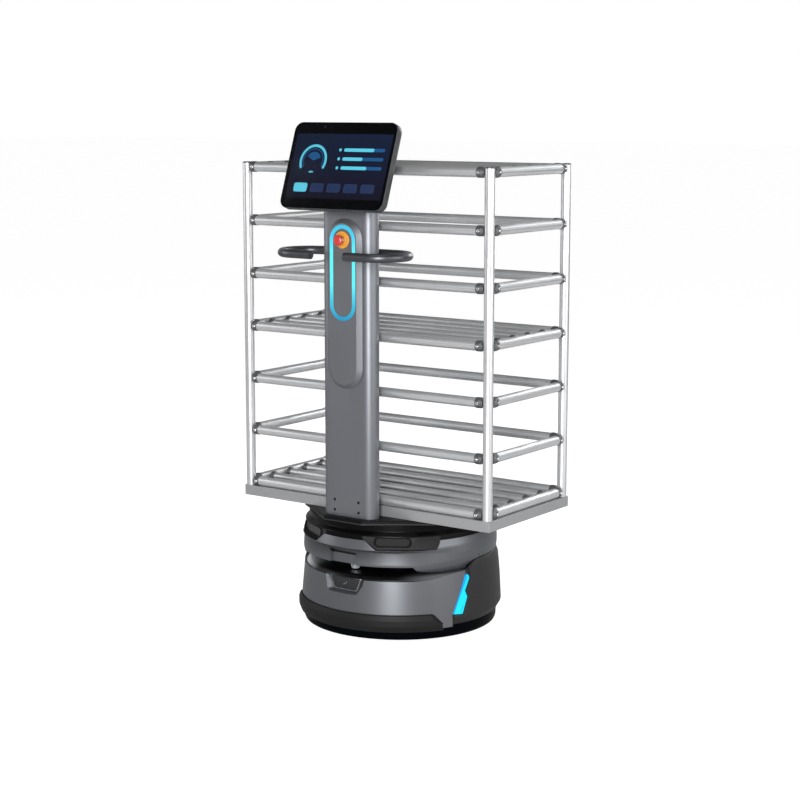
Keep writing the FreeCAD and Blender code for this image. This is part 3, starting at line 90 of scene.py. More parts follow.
def softened(points, radius, each=None):
    """Round the corners of an outline; radius is one number or one for each corner.

    With each, every corner gets that many steps, however little it turns.
    """
    radii = radius if isinstance(radius, (list, tuple)) else [radius] * len(points)
    out = []
    for i, (point, r) in enumerate(zip(points, radii)):
        here = Vector(point)
        back = Vector(points[i - 1]) - here
        ahead = Vector(points[(i + 1) % len(points)]) - here
        turn = math.pi - back.angle(ahead) if r > 0 else 0
        if r <= 0 or (turn < math.radians(2) and not each):
            out.append(tuple(point))
            continue
        reach = min(r * math.tan(turn / 2), 0.48 * back.length, 0.48 * ahead.length)
        count = each or max(2, math.ceil(math.degrees(turn) / 14))
        start = here + back.normalized() * reach
        end = here + ahead.normalized() * reach
        for j in range(count + 1):
            t = j / count
            out.append(tuple(start * (1 - t) ** 2 + here * 2 * t * (1 - t) + end * t * t))
    return out


def pill(half, low, high, count):
    """An upright stadium outline around two centres, counter-clockwise."""
    return arc((0, high), half, 0, 180, count) + arc((0, low), half, 180, 360, count)


def lying_pill(half_wide, half_tall, count=16):
    """A level stadium outline, counter-clockwise."""
    run = half_wide - half_tall
    return arc((run, 0), half_tall, -90, 90, count) + arc((-run, 0), half_tall, 90, 270, count)


def round_box(wide, tall, corner, x=0, y=0, count=8):
    """A rectangle with round corners, counter-clockwise."""
    w, h = wide / 2 - corner, tall / 2 - corner
    points = []
    for k, (a, b) in enumerate([(w, h), (-w, h), (-w, -h), (w, -h)]):
        points += arc((x + a, y + b), corner, 90 * k, 90 * k + 90, count)
    return points


def circle(radius, count, x=0, y=0):
    return arc((x, y), radius, 0, 360, count)[:-1]


def octagon(flat, soft=0.12):
    """An octagon with flats at a radius, its corners cut by a small second facet."""
    points = []
    corner = flat / math.cos(math.pi / 8)
    for i in range(8):
        middle = math.pi / 8 + i * math.pi / 4
        for turn in (-soft, soft):
            points.append((corner * math.cos(middle + turn), corner * math.sin(middle + turn)))
    return points


def mirrored(outline):
    """An outline on the other side of X = 0 that still runs the same way round."""
    return [(-x, y) for x, y in reversed(outline)]


# Solids as (points, faces), before they become meshes


def stack(rings, cap=True):
    """Skin a row of rings that have the same number of 3-D points."""
    count = len(rings[0])
    points = [p for ring in rings for p in ring]
    faces = []
    for row in range(len(rings) - 1):
        a, b = row * count, (row + 1) * count
        for i in range(count):
            j = (i + 1) % count
            faces.append((a + i, a + j, b + j, b + i))
    if cap:
        faces.append(tuple(reversed(range(count))))
        faces.append(tuple(range(len(points) - count, len(points))))
    return points, faces


def tiers(*rows, cap=True):
    """A solid through outlines that each lie at their own height."""
    return stack([[(x, y, z) for x, y in outline] for outline, z in rows], cap)


def plate(outline, low, high):
    return tiers((outline, low), (outline, high))


def lathe(profile, steps=96, start=0, end=360):
    """Turn a closed (radius, height) profile about Z; angles count from -Y towards +X.

    The profile can be a function that gives it for an angle in degrees.
    """
    whole = end - start > 359.9
    turns = steps if whole else steps + 1
    section = profile if callable(profile) else lambda angle: profile
    count = len(section(start))
    points = []
    for i in range(turns):
        degrees = start + (end - start) * i / steps
        angle = math.radians(degrees)
        points += [(r * math.sin(angle), -r * math.cos(angle), z) for r, z in section(degrees)]
    faces = []
    for i in range(steps):
        a, b = i * count, ((i + 1) % turns) * count
        for k in range(count):
            m = (k + 1) % count
            faces.append((a + k, a + m, b + m, b + k))
    if not whole:
        faces.append(tuple(range(count)))
        faces.append(tuple(reversed(range((turns - 1) * count, turns * count))))
    return points, faces


def moved(shape, matrix):
    points, faces = shape
    return [tuple(matrix @ Vector(p)) for p in points], faces


def joined(*shapes):
    points, faces = [], []
    for some_points, some_faces in shapes:
        first = len(points)
        points += some_points
        faces += [tuple(first + i for i in face) for face in some_faces]
    return points, faces


def spot(x, y, z):
    return Matrix.Translation((x, y, z))


def spin(degrees, axis):
    return Matrix.Rotation(math.radians(degrees), 4, axis)


BASE = spot(0, BASE_Y, 0)
FACE_FRONT = spin(90, "X")
FACE_BACK = spin(-90, "X")
FACE_RIGHT = spin(90, "Y")
FACE_LEFT = spin(-90, "Y")

# A front view drawn as (across, height) stands up and faces -Y, and is turned about
# the base's axis; a side view drawn as (y from the axis, height) faces +X
SIDE_VIEW = Matrix(((0, 0, 1, 0), (1, 0, 0, BASE_Y), (0, 1, 0, 0), (0, 0, 0, 1)))


def front_view(turn=0):
    """Local X across, local Y up and local Z outwards, at an angle from -Y towards +X."""
    return BASE @ spin(turn, "Z") @ FACE_FRONT


# Meshes


def make(name, shape, matrix=None, mat=None, sharp=SMOOTH_ANGLE):
    """A piece of a solid in millimetres, with its doubled points welded."""
    points, faces = moved(shape, matrix) if matrix else shape
    mesh = bpy.data.meshes.new(name)
    mesh.from_pydata([Vector(p) * MM for p in points], [], faces)
    piece = bpy.data.objects.new(name, mesh)
    scene.collection.objects.link(piece)
    weld = piece.modifiers.new("Weld", "WELD")
    weld.merge_threshold = 1e-6
    bake(piece)
    tidy_normals(piece, sharp)
    if mat:
        piece.data.materials.append(mat)
    return piece


def turned(name, profile, radii, steps, matrix, mat=None):
    """A piece turned on a lathe from a profile with softened corners."""
    return make(name, lathe(softened(profile, radii), steps), matrix, mat)


def tidy_normals(piece, sharp=SMOOTH_ANGLE):
    """Make the faces point outwards and shade them smooth up to an angle."""
    grid = bmesh.new()
    grid.from_mesh(piece.data)
    bmesh.ops.recalc_face_normals(grid, faces=grid.faces)
    grid.to_mesh(piece.data)
    grid.free()
    piece.data.shade_smooth()
    piece.data.set_sharp_from_angle(angle=math.radians(sharp))


def bake(piece):
    """Turn the piece's modifiers into its mesh."""
    graph = bpy.context.evaluated_depsgraph_get()
    mesh = bpy.data.meshes.new_from_object(piece.evaluated_get(graph))
    old = piece.data
    piece.modifiers.clear()
    piece.data = mesh
    bpy.data.meshes.remove(old)


def carve(piece, *cutters, how="DIFFERENCE"):
    """Cut pieces away from a piece; they are used up, and their finish shows in the cut."""
    for cutter in cutters:
        step = piece.modifiers.new("Carve", "BOOLEAN")
        step.operation = how
        step.solver = "EXACT"
        step.material_mode = "TRANSFER"
        step.object = cutter
    bake(piece)
    for cutter in cutters:
        bpy.data.objects.remove(cutter)
    tidy_normals(piece)


def bevel(piece, width, segments=2):
    """Round the piece's sharp edges by a width in millimetres."""
    step = piece.modifiers.new("Bevel", "BEVEL")
    step.width = width * MM
    step.segments = segments
    step.limit_method = "ANGLE"
    step.angle_limit = math.radians(SMOOTH_ANGLE)
    step.use_clamp_overlap = True
    step.harden_normals = False
    bake(piece)
    tidy_normals(piece, BEVEL_SMOOTH_ANGLE)
    weighted = piece.modifiers.new("Normals", "WEIGHTED_NORMAL")
    weighted.keep_sharp = True
    weighted.weight = 80
    bake(piece)


def merged(name, pieces):
    """Several finished pieces as one mesh."""
    grid = bmesh.new()
    mats = []
    for piece in pieces:
        first = len(mats)
        mats += list(piece.data.materials)
        before = len(grid.faces)
        grid.from_mesh(piece.data)
        grid.faces.ensure_lookup_table()
        for face in grid.faces[before:]:
            face.material_index += first
    mesh = bpy.data.meshes.new(name)
    grid.to_mesh(mesh)
    grid.free()
    for mat in mats:
        mesh.materials.append(mat)
    whole = bpy.data.objects.new(name, mesh)
    scene.collection.objects.link(whole)
    for piece in pieces:
        bpy.data.objects.remove(piece)
    return whole


# Finishes


def srgb(red, green, blue):
    """A colour named by its 8-bit screen values, as the shader takes it."""
    out = []
    for value in (red, green, blue):
        c = value / 255
        out.append(c / 12.92 if c <= 0.04045 else ((c + 0.055) / 1.055) ** 2.4)
    return out


def node(tree, kind, links=(), **values):
    """A new shader node; links are (output, input) pairs, and _ in a value's name is a space."""
    made = tree.nodes.new("ShaderNode" + kind)
    for name, value in values.items():
        made.inputs[name.replace("_", " ")].default_value = value
    for source, target in links:
        tree.links.new(source, made.inputs[target])
    return made


def halved(tree, source):
    """A node that gives half of a value plus its third input, which is 0 at first."""
    made = node(tree, "Math", [(source, 0)])
    made.operation = "MULTIPLY_ADD"
    made.inputs[1].default_value = 0.5
    made.inputs[2].default_value = 0
    return made


def finish(name, colour, roughness, metallic=0.0, vary=0.05, grain=900, bump=0.03, uneven=0.06,
           blotch=9.0, stretch=None, coat=0.0, round_edges=0.0, specular=0.5, glow=None):
    """A finish with uneven colour and gloss and a fine grain."""
    mat = bpy.data.materials.new(name)
    mat.use_nodes = True
    tree = mat.node_tree
    link = tree.links.new
    shader = tree.nodes["Principled BSDF"]
    shader.inputs["Metallic"].default_value = metallic
    shader.inputs["Specular IOR Level"].default_value = specular
    shader.inputs["Coat Weight"].default_value = coat
    shader.inputs["Coat Roughness"].default_value = 0.12
    where = node(tree, "TexCoord").outputs["Object"]
    lines = where
    if stretch:
        lines = node(tree, "Mapping", [(where, "Vector")], Scale=stretch).outputs["Vector"]
    broad = node(tree, "TexNoise", [(where, "Vector")], Scale=blotch, Detail=3).outputs["Fac"]
    fine = node(tree, "TexNoise", [(lines, "Vector")], Scale=grain, Detail=4).outputs["Fac"]
    blend = halved(tree, broad)
    link(halved(tree, fine).outputs[0], blend.inputs[2])
    low = [c * (1 - vary) for c in srgb(*colour)] + [1]
    high = [min(c * (1 + vary), 1) for c in srgb(*colour)] + [1]
    tint = node(tree, "MixRGB", [(blend.outputs[0], "Fac")], Color1=low, Color2=high)
    link(tint.outputs[0], shader.inputs["Base Color"])
    gloss = node(tree, "MapRange", [(blend.outputs[0], "Value")], From_Min=0.3, From_Max=0.7,
                 To_Min=max(roughness - uneven, 0.02), To_Max=min(roughness + uneven, 1.0))
    link(gloss.outputs["Result"], shader.inputs["Roughness"])
    relief = node(tree, "Bump", [(fine, "Height")], Strength=bump, Distance=0.0006)
    if round_edges:
        edge = node(tree, "Bevel", Radius=round_edges * MM)
        edge.samples = 4
        link(edge.outputs["Normal"], relief.inputs["Normal"])
    link(relief.outputs["Normal"], shader.inputs["Normal"])
    if glow:
        shader.inputs["Emission Color"].default_value = srgb(*glow) + [1]
        shader.inputs["Emission Strength"].default_value = 1.0
    return mat


def ramped(mat, socket, axis, low, high, stops, how="LINEAR"):
    """Let a colour run along an axis between two places in metres; stops are (share, colour)."""
    tree = mat.node_tree
    shader = tree.nodes["Principled BSDF"]
    split = node(tree, "SeparateXYZ", [(node(tree, "TexCoord").outputs["Object"], 0)])
    span = node(tree, "MapRange", [(split.outputs[axis], "Value")], From_Min=low, From_Max=high)
    ramp = node(tree, "ValToRGB", [(span.outputs["Result"], "Fac")])
    ramp.color_ramp.interpolation = how
    elements = ramp.color_ramp.elements
    for (place, colour), stop in zip((stops[0], stops[-1]), elements):
        stop.position = place
        stop.color = srgb(*colour) + [1]
    for place, colour in stops[1:-1]:
        elements.new(place).color = srgb(*colour) + [1]
    tree.links.new(ramp.outputs["Color"], shader.inputs[socket])
    if socket == "Emission Color":
        shader.inputs["Emission Strength"].default_value = 1.0


def with_painted_shade(mat, attribute):
    """Let a painted shade value that a mesh's points carry darken a finish's colour."""
    tree = mat.node_tree
    colour = tree.nodes["Principled BSDF"].inputs["Base Color"]
    value = node(tree, "Attribute")
    value.attribute_name = attribute
    tint = colour.links[0].from_node.outputs[0]
    product = node(tree, "MixRGB", [(tint, "Color1"), (value.outputs["Fac"], "Color2")], Fac=1)
    product.blend_type = "MULTIPLY"
    tree.links.new(product.outputs[0], tree.nodes["Principled BSDF"].inputs["Base Color"])
    return mat


def dress(piece, mat, slot, *replaced, body="base"):
    """Give a piece its finish, the body it rides on and the nodes it stands for; its record slot is not used.
    """
    if not piece.data.materials:
        piece.data.materials.append(mat)
    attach(piece, body)
    if replaced:
        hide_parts(*replaced)


def keep(name, mat):
    """Show a CAD node as it is, with a finish of its own."""
    for slot in nodes[name].material_slots:
        slot.link = "OBJECT"
        slot.material = mat


# Name, colour, roughness, metallic, change of colour, grain, bump and change of gloss
SATIN = ((106, 108, 112), 0.34, 0.75, 0.035, 1400, 0.03, 0.03)
SHELL = finish("satin shell", *SATIN, round_edges=0.8)
# The ring's colour is darkened by a value its points carry: painted shade under its crease.
RING_WITH_PAINTED_SHADE = with_painted_shade(finish("satin ring with painted shade", *SATIN, round_edges=0.8), "painted_crease_shade")
COLUMN = finish("satin column coat", (119, 121, 126), 0.42, 0.7, 0.03, 1600, 0.03, 0.03, round_edges=0.6)
CHARCOAL = finish("charcoal moulding", (34, 34, 35), 0.48, 0, 0.06, 1700, 0.08, 0.05, round_edges=0.8,
                  specular=0.32)
BLACK = finish("black moulding", (20, 20, 22), 0.34, 0, 0.08, 1500, 0.05, round_edges=0.6)
SKIRT = finish("skirt moulding", (3, 4, 7), 0.3, 0, 0.08, 1200, 0.03, 0.04, specular=0.03)
DECK = finish("deck coat", (11, 11, 12), 0.42, 0, 0.06, 1300, 0.06, 0.05, specular=0.12)
CAP = finish("cap moulding", (6, 6, 7), 0.3, 0, 0.06, 1500, 0.03, 0.04, specular=0.1)
# A darker shell colour for the walls of the front recess that face -X: painted shade.
SHADE = finish("shell with painted shade in the recess", (50, 51, 54), 0.5, 0, 0.035, 1400, 0.03, 0.03, specular=0.2)
# The slot's finish carries painted light and shade along X; see the ramp below.
SLOT_PAINTED_LIGHT = finish("slot moulding with painted light and shade", (20, 20, 22), 0.3, 0, 0.08, 1500, 0.04, 0.05, specular=0.3)
BUMPER = finish("bumper rubber", (27, 27, 28), 0.5, 0, 0.06, 1700, 0.08, 0.05, round_edges=0.8,
                specular=0.16)
DRUM = finish("scanner drum", (196, 198, 202), 0.28, 0.35, 0.03, 1400, 0.02, 0.03)
RECESS = finish("recess moulding", (22, 22, 23), 0.4, 0, 0.05, 1700, 0.04, 0.04, specular=0.25)
GLASS_DARK = finish("window glass", (33, 33, 34), 0.2, 0, 0.03, 600, 0, 0.02, coat=0.2, specular=0.2)
PANEL = finish("panel moulding", (43, 44, 46), 0.4, 0, 0.04, 1700, 0.04, 0.03, specular=0.3)
# A light grey metallic rim round the sensor panel, lighter than the panel: partly a lighter frame, partly a
# painted highlight on the panel's rounded edge.
RIM_WITH_PAINTED_HIGHLIGHT = finish("panel rim with painted highlight", (150, 152, 156), 0.3, 0.5, 0.04, 1500, 0.02, 0.04)
LENS = finish("sensor lens", (24, 24, 28), 0.06, 0, 0.03, 300, 0, 0.01, coat=1.0)
LIGHT = finish("light loop", (10, 60, 70), 0.3, 0, 0.05, 700, 0.02, 0.04, glow=(70, 240, 255))
SIDE_LIGHT = finish("side light", (0, 60, 90), 0.25, 0, 0.05, 700, 0.02, 0.04, glow=(0, 232, 255))
SIDE_BLUE = finish("side light edge", (0, 40, 90), 0.25, 0, 0.05, 700, 0.02, 0.04, glow=(10, 168, 236))
TAIL = finish("tail light", (30, 20, 80), 0.25, 0, 0.05, 700, 0.02, 0.04, glow=(92, 80, 190))
BATTERY = finish("battery case", (120, 122, 126), 0.4, 0.8, 0.06, 300, 0.1, stretch=(1, 6, 6))
CONTROLLER = finish("controller case", (34, 35, 37), 0.45, 0.5, 0.08, 900, 0.08)
CONTACT = finish("plated contact", (214, 176, 112), 0.24, 1, 0.05, 500, 0.05, stretch=(1, 10, 10))
BUTTON = finish("button", (40, 41, 43), 0.3, 0, 0.05, 1500)
STEEL = finish("coated steel", (78, 79, 82), 0.42, 0.6, 0.08, 1100, 0.08)
HUB = finish("cast hub", (170, 172, 176), 0.4, 0.9, 0.08, 1000, 0.12)
TYRE = finish("rubber", (38, 38, 38), 0.78, 0, 0.12, 1300, 0.3, 0.1)
SCREW = finish("blackened screw", (26, 26, 28), 0.35, 0.7, 0.1, 1500, 0.06)
STOP_RING = finish("stop ring", (214, 144, 46), 0.32, 0, 0.05, 1400, coat=0.2)
STOP_RED = finish("stop head", (186, 56, 52), 0.3, 0, 0.05, 1400, coat=0.3)
STOP_ROD = finish("stop neck", (186, 160, 118), 0.26, 0.8, 0.05, 800, 0.08)
HANDLE = finish("handle coat", (84, 85, 89), 0.36, 0.8, 0.05, 1600, coat=0.1)
HOUSING = finish("screen housing", (52, 53, 55), 0.42, 0, 0.05, 1800, 0.07, round_edges=0.8)
BEZEL = finish("screen border", (7, 7, 8), 0.5, 0, 0.05, 900, 0, 0.02, specular=0)
TRAY = finish("tray coat", (168, 169, 171), 0.42, 0.6, 0.03, 1300, 0.04, 0.04, round_edges=0.8)
LINK = finish("cast link", (104, 105, 107), 0.46, 0.7, 0.1, 800, 0.14)
BOLT = finish("bright bolt", (235, 235, 236), 0.2, 1, 0.03)
# Near black for the insides of gaps, holes, wells, ports and the slit: painted shade where these lie in
# shade.
GAP_SHADE = finish("gap", (14, 14, 15), 0.6, 0, 0.05, 900, 0.02)
ramped(LIGHT, "Emission Color", "Z", 0.857, 1.106, [
    (0, (24, 138, 186)), (0.18, (50, 190, 225)), (0.38, (92, 246, 255)), (0.72, (92, 246, 255)),
    (0.9, (60, 205, 240)), (1, (66, 190, 226))])
# Painted light and shade on the slot's floor: near white at its left end, near black through its middle, mid
# grey at its right end, as light reaches its ends and its middle lies in shade.
ramped(SLOT_PAINTED_LIGHT, "Base Color", "X", -0.24, 0.24, [
    (0.04, (225, 226, 228)), (0.3, (7, 7, 8)), (0.78, (7, 7, 8)), (0.98, (92, 93, 96))], "EASE")


def brushed(name, along):
    """Drawn aluminium with fine lines along one axis."""
    scale = [1 if axis == along else 55 for axis in range(3)]
    return finish(name, (216, 217, 219), 0.32, 0.75, 0.03, 22, 0.03, 0.03, blotch=5, stretch=scale)


TUBE_X = brushed("drawn tube along x", 0)
TUBE_Y = brushed("drawn tube along y", 1)
TUBE_Z = brushed("drawn tube along z", 2)


# Drive base: skirt, shells and bumper

REACH = 400
FRONT_SPAN = 88
SEAM = [(-111, 40), (-108.8, 75), (-58.6, 176)]
BLADE = [(-107.2, 75.6), (-80.4, 73), (-60.9, 116), (-67.9, 133), (-50.1, 165.8), (-54, 175),
         (-58.2, 174.6)]
SHOULDER = [(-50, 187), (-46, 197), (-30.5, 208), (-7, 212.6)]
SHOULDER_ROUND = [10, 14, 16, 20]


def ring_piece(name, profile, radius=1.5, start=-180, end=180, steps=216, mat=None):
    return make(name, lathe(softened(profile, radius), steps, start, end), BASE, mat)


def side_cutter(outline, near=-REACH, far=REACH):
    """A prism through the base from side to side."""
    return make("cutter", plate(outline, near, far), SIDE_VIEW)


def side_half(outline, side):
    """The half of such a prism on one side of the base."""
    return side_cutter(outline, 0, REACH) if side > 0 else side_cutter(outline, -REACH, 0)


def front_cutter(outline, near=0, far=REACH, turn=0, mouth=None, mat=None):
    """A prism that faces the front, or a pocket that grows from its floor to its mouth."""
    return make("cutter", tiers((outline, near), (mouth or outline, far)), front_view(turn), mat)


def bumper_outline(grow, low):
    half, top, high = 237, 220, 82
    bend = high - (half - top) * 1.6
    points = [
        (-(half + grow), low), (half + grow, low), (half + grow, bend),
        (top + grow, high + grow), (-(top + grow), high + grow), (-(half + grow), bend),
    ]
    return softened(points, [0, 0, 7, 7, 7, 7])


dress(ring_piece("skirt_ring", [
    (259, 13), (262.5, 13), (265.6, 20), (266, 34), (266, 72), (259, 72),
], [1, 4, 6, 6, 1, 1]), SKIRT, "black", "skirt")

# The slot's lower edge in front view; it climbs towards both ends
JAW = [(186, 171), (217, 175.6), (241, 183.5), (266, 189)]

# The front recess, which holds the sensor panel
PANEL_DEPTH = 246
PANEL_LEAN = 0.42
FIT = 0.05


def panel_outline(out, grow=0.0, top=181):
    """The front recess seen from the front, with its long side up, this far out of its floor."""
    share = out / 30
    low = 132.5 - 4 * share - grow
    half = 38 + 16 * share + grow
    top_half = 57 + 41 * share + grow
    return softened([(-half, low), (half, low), (top_half, top), (-top_half, top)], [11, 11, 0, 0], each=6)


lower = ring_piece("front_shell", [
    (266.4, 42), (275.5, 42), (262.4, 189), (257.9, 189), (257.9, 82), (266.4, 80),
], [0.5, 1.5, 0, 0, 0, 0.5], -FRONT_SPAN, FRONT_SPAN, 132, SHELL)
behind = side_cutter(softened(
    SEAM + [(SEAM[2][0], 200), (REACH, 200), (REACH, -10), (SEAM[0][0], -10)], [0, 3, 0, 0, 0, 0, 0]))
jaw = front_cutter(softened(
    [(-x, z) for x, z in JAW] + [(-266, 220), (266, 220)] + list(reversed(JAW)),
    [30, 40, 40, 0, 0, 0, 0, 40, 40, 30]))
bumper_room = front_cutter(bumper_outline(1.2, 10))
carve(bumper_room, make("core", lathe([(0, -10), (268, -10), (268, 300), (0, 300)], 216), BASE))
pocket = front_cutter(panel_outline(0), PANEL_DEPTH, PANEL_DEPTH + 30, mouth=panel_outline(30))
for room in (behind, jaw, bumper_room, pocket):
    carve(lower, room)
bevel(lower, 1.2, 3)
block = make("block", lathe([(238, 118), (258.4, 118), (258.4, 170.9), (238, 170.9)], 40, -22, 22),
             BASE, SHELL)
carve(block, front_cutter(panel_outline(0, -FIT), PANEL_DEPTH + FIT, PANEL_DEPTH + 20,
                          mouth=panel_outline(20, -FIT)))
lower = merged("front_shell", [lower, block])
# Painted shade: the walls of the front recess that face -X take the darker finish, since these walls lie in
# shade.
lower.data.materials.append(SHADE)
for face in lower.data.polygons:
    where = face.center / MM
    if abs(where.x) < 85 and 124 < where.z < 171.2 and face.normal.x < -0.4:
        face.material_index = len(lower.data.materials) - 1
dress(lower, SHELL, "shell_grey", "lower_shell")


def trapezoid(inset):
    low = 134.5 + inset
    top = 170.6 - inset
    low_half = 36.5 - inset
    high_half = low_half + PANEL_LEAN * (top - low)
    return softened([(-low_half, low), (low_half, low), (high_half, top), (-high_half, top)],
                    [9, 9, 1.5, 1.5], each=6)


def panel_layer(name, mat, *rows):
    """A layer of the sensor panel; rows are (inset, height above the recess's floor)."""
    return make(name, tiers(*[(trapezoid(inset), PANEL_DEPTH + out) for inset, out in rows]),
                front_view(), mat)


# The rim shows as a thin light line round the panel face: partly a lighter frame, partly a painted highlight.
panel = panel_layer("sensor_cover", RIM_WITH_PAINTED_HIGHLIGHT, (0, 0.3), (0, 2.6), (0.5, 3.3))
panel_face = panel_layer("sensor_face", PANEL, (1.5, 3.0), (1.5, 3.5), (2.1, 3.7))
dress(merged("sensor_cover", [panel, panel_face]), PANEL, "panel_grey", "sensor_panel")
dress(turned("sensor_lens", [
    (0, 0), (6, 0), (6, 0.9), (5.2, 1.5), (4.4, 0.8), (2.4, 1.3), (0, 1.5),
], [0, 0, 0.4, 0.4, 0.3, 0.5, 0], 40, front_view() @ spot(0, 153, PANEL_DEPTH + 3.5)), LENS, "panel_grey")

SIDE_PROFILE = [
    (266.4, 46), (269, 46), (280, 64.7), (276.2, 140), (272.3, 184), (269, 201), (265, 212), (262, 212),
    (262, 84), (266.4, 82),
]
SIDE_ROUND = [0.5, 2, 5, 120, 60, 30, 2, 1, 0, 0]
TAIL_OUTLINE = [(-44, 178), (40, 178), (48, 194), (-52, 194)]
TAIL_TURN = 138


def tail_cutter(outline, side):
    return front_cutter(softened(outline, 2), 200, 300, TAIL_TURN * side)


def side_shell(name, side):
    start, end = (62, 151) if side > 0 else (-151, -62)
    shell = ring_piece(name, SIDE_PROFILE, SIDE_ROUND, start, end, 84, CHARCOAL)
    gap = 0.35
    outline = softened([
        (SEAM[0][0] + gap, 20), (SEAM[1][0] + gap, SEAM[1][1] - 0.6),
        (BLADE[1][0] + gap, BLADE[1][1] - 1.0), *[(y + gap, z) for y, z in BLADE[2:5]],
        *SHOULDER, (30, 214), (REACH, 214), (REACH, 20),
    ], [0, 0, 3, 5, 5, 4, *SHOULDER_ROUND, 0, 0, 0])
    carve(shell, side_half(list(reversed(outline)), side), how="INTERSECT")
    carve(shell, tail_cutter([(side * x, z) for x, z in TAIL_OUTLINE], side))
    bevel(shell, 1.0)
    dress(shell, CHARCOAL, "charcoal", name.replace("cover", "shell"))


side_shell("side_cover_left", -1)
side_shell("side_cover_right", 1)


def tail_light(side):
    band = ring_piece("band", [(262.5, 176), (274.2, 176), (273, 190), (271.6, 196), (262.5, 196)],
                      0.5, TAIL_TURN * side - 14, TAIL_TURN * side + 14, 36)
    tail = [(side * x * 0.985, z + (0.5 if z < 185 else -0.5)) for x, z in TAIL_OUTLINE]
    carve(band, tail_cutter(tail, side), how="INTERSECT")
    return band


dress(merged("tail_bars", [tail_light(-1), tail_light(1)]), TAIL, "tail_light", "tail_lenses")

BLADE_EDGE = [(-108, 75.8), (-106.2, 75.6), (-81.2, 128), (-68, 150), (-58.5, 167), (-58, 176),
              (-59.5, 176)]
BLADE_LINE = [(-86, 77), (-84.6, 76.8), (-76.5, 94), (-77.6, 95.4)]


def side_light(side, outline, mat, out):
    """A blade of light between the shells, cut from a band of the shell's own slope."""
    start, end = (58, 84) if side > 0 else (-84, -58)
    profile = [(267, 70), (275.6 + out, 70), (273.2 + out, 90), (268 + out, 168), (267 + out, 180),
               (263.5, 180), (263.5, 84), (266.4, 80)]
    band = ring_piece("band", profile, 0.4, start, end, 40)
    carve(band, side_half(outline, side), how="INTERSECT")
    band.data.materials.clear()
    band.data.materials.append(mat)
    return band


whole_blade = softened(list(reversed(BLADE)), [1.5, 3, 4, 5, 5, 3, 1.5])
blue_edge = softened(list(reversed(BLADE_EDGE)), [1, 1, 2, 2, 4, 1, 1])
dress(merged("side_blades", [
    side_light(side, outline, mat, out)
    for side in (-1, 1)
    for outline, mat, out in ((whole_blade, SIDE_LIGHT, 0), (blue_edge, SIDE_BLUE, 0.08),
                              (list(reversed(BLADE_LINE)), SIDE_BLUE, 0.12))
]), SIDE_LIGHT, "light", "side_lenses")

# The rear cover with the room for the charging contacts and the power button
REAR_VIEW = front_view(180)
charge_box = (130, 76, 7, 0, 110)
rear = ring_piece("rear_cover_shell", SIDE_PROFILE, SIDE_ROUND, 151.1, 208.9, 60, CHARCOAL)
carve(rear, make("cutter", tiers(
    (round_box(*charge_box), 262), (round_box(*charge_box), 268), (round_box(142, 88, 9, 0, 110), 290),
), REAR_VIEW, BLACK))
back_pan = make("pan", plate(round_box(*charge_box), 258, 262), REAR_VIEW, BLACK)
carve(rear, make("cutter", lathe([(0, 0), (10.2, 0), (10.2, 40), (0, 40)], 48),
                 REAR_VIEW @ spot(-42, 178, 255)))
bevel(rear, 0.9)
dress(rear, CHARCOAL, "charcoal", "rear_cover")
dress(back_pan, BLACK, "black")
keep("charge_contacts", CONTACT)
dress(turned("rear_button", [
    (0, 0), (9, 0), (9, 7.6), (8, 9), (6.4, 9), (5.8, 8.4), (0, 8.2),
], [0, 0, 1, 0.8, 0.5, 0.5, 0], 48, spot(42, 288.5, 178) @ FACE_BACK),
    BUTTON, "button", "power_button", body="power_button")

bumper = ring_piece("bumper_band", [
    (274.8, 36), (280.8, 52), (280.8, 68), (275.8, 82), (271.5, 82), (271.5, 36),
], [2, 7, 6, 2.5, 1, 0.5], -64, 64, 120, BUMPER)
carve(bumper, front_cutter(bumper_outline(0, 31)), how="INTERSECT")
bevel(bumper, 1.0)
dress(bumper, BUMPER, "charcoal", "bumper", body="bumper")

# Scanner slot, upper ring, cap and deck

# The spool takes the slot finish, with its painted light at the ends and painted shade in the middle.
dress(ring_piece("slot_spool", [
    (257.8, 171), (257.8, 172.6), (250, 182), (236, 183), (126, 183), (120, 190), (120, 201), (126, 208),
    (244.5, 208), (244.5, 211), (117, 211), (117, 180), (245, 180),
], [0.5, 2, 12, 0, 5, 4, 4, 5, 0.5, 0.5, 0, 0, 2], -FRONT_SPAN, FRONT_SPAN, 132),
    SLOT_PAINTED_LIGHT, "black", "slot_liner")

CREASED = [(245.5, 189.5), (253.5, 189.5), (263.4, 201), (266.4, 213), (264.2, 249.5), (268.6, 254.6),
           (262.5, 279.5), (245.5, 279.5)]
SMOOTH = [(245.5, 189.5), (252.6, 189.5), (263, 208), (267, 222), (267.7, 240), (266.2, 260),
          (262.5, 279.5), (245.5, 279.5)]
MOUTH = [(262, 187), (218, 190.8), (188, 196.5), (181, 210)]
WINDOW_TURN = 31.2


def eased(value, low, high):
    """A smooth step from 0 at one value to 1 at another."""
    share = min(max((value - low) / (high - low), 0), 1)
    return share * share * (3 - 2 * share)


def ring_section(angle):
    """The upper ring's section: its crease fades out behind the camera windows."""
    fade = eased(abs(angle), 44, 78)
    profile = [tuple(Vector(a).lerp(Vector(b), fade)) for a, b in zip(CREASED, SMOOTH)]
    radii = [0.5, 3, 14 + 26 * fade, 30 + 10 * fade, 6 + 55 * fade, 0.9 + 60 * fade, 1.2, 0.5]
    return softened(profile, radii, each=6)


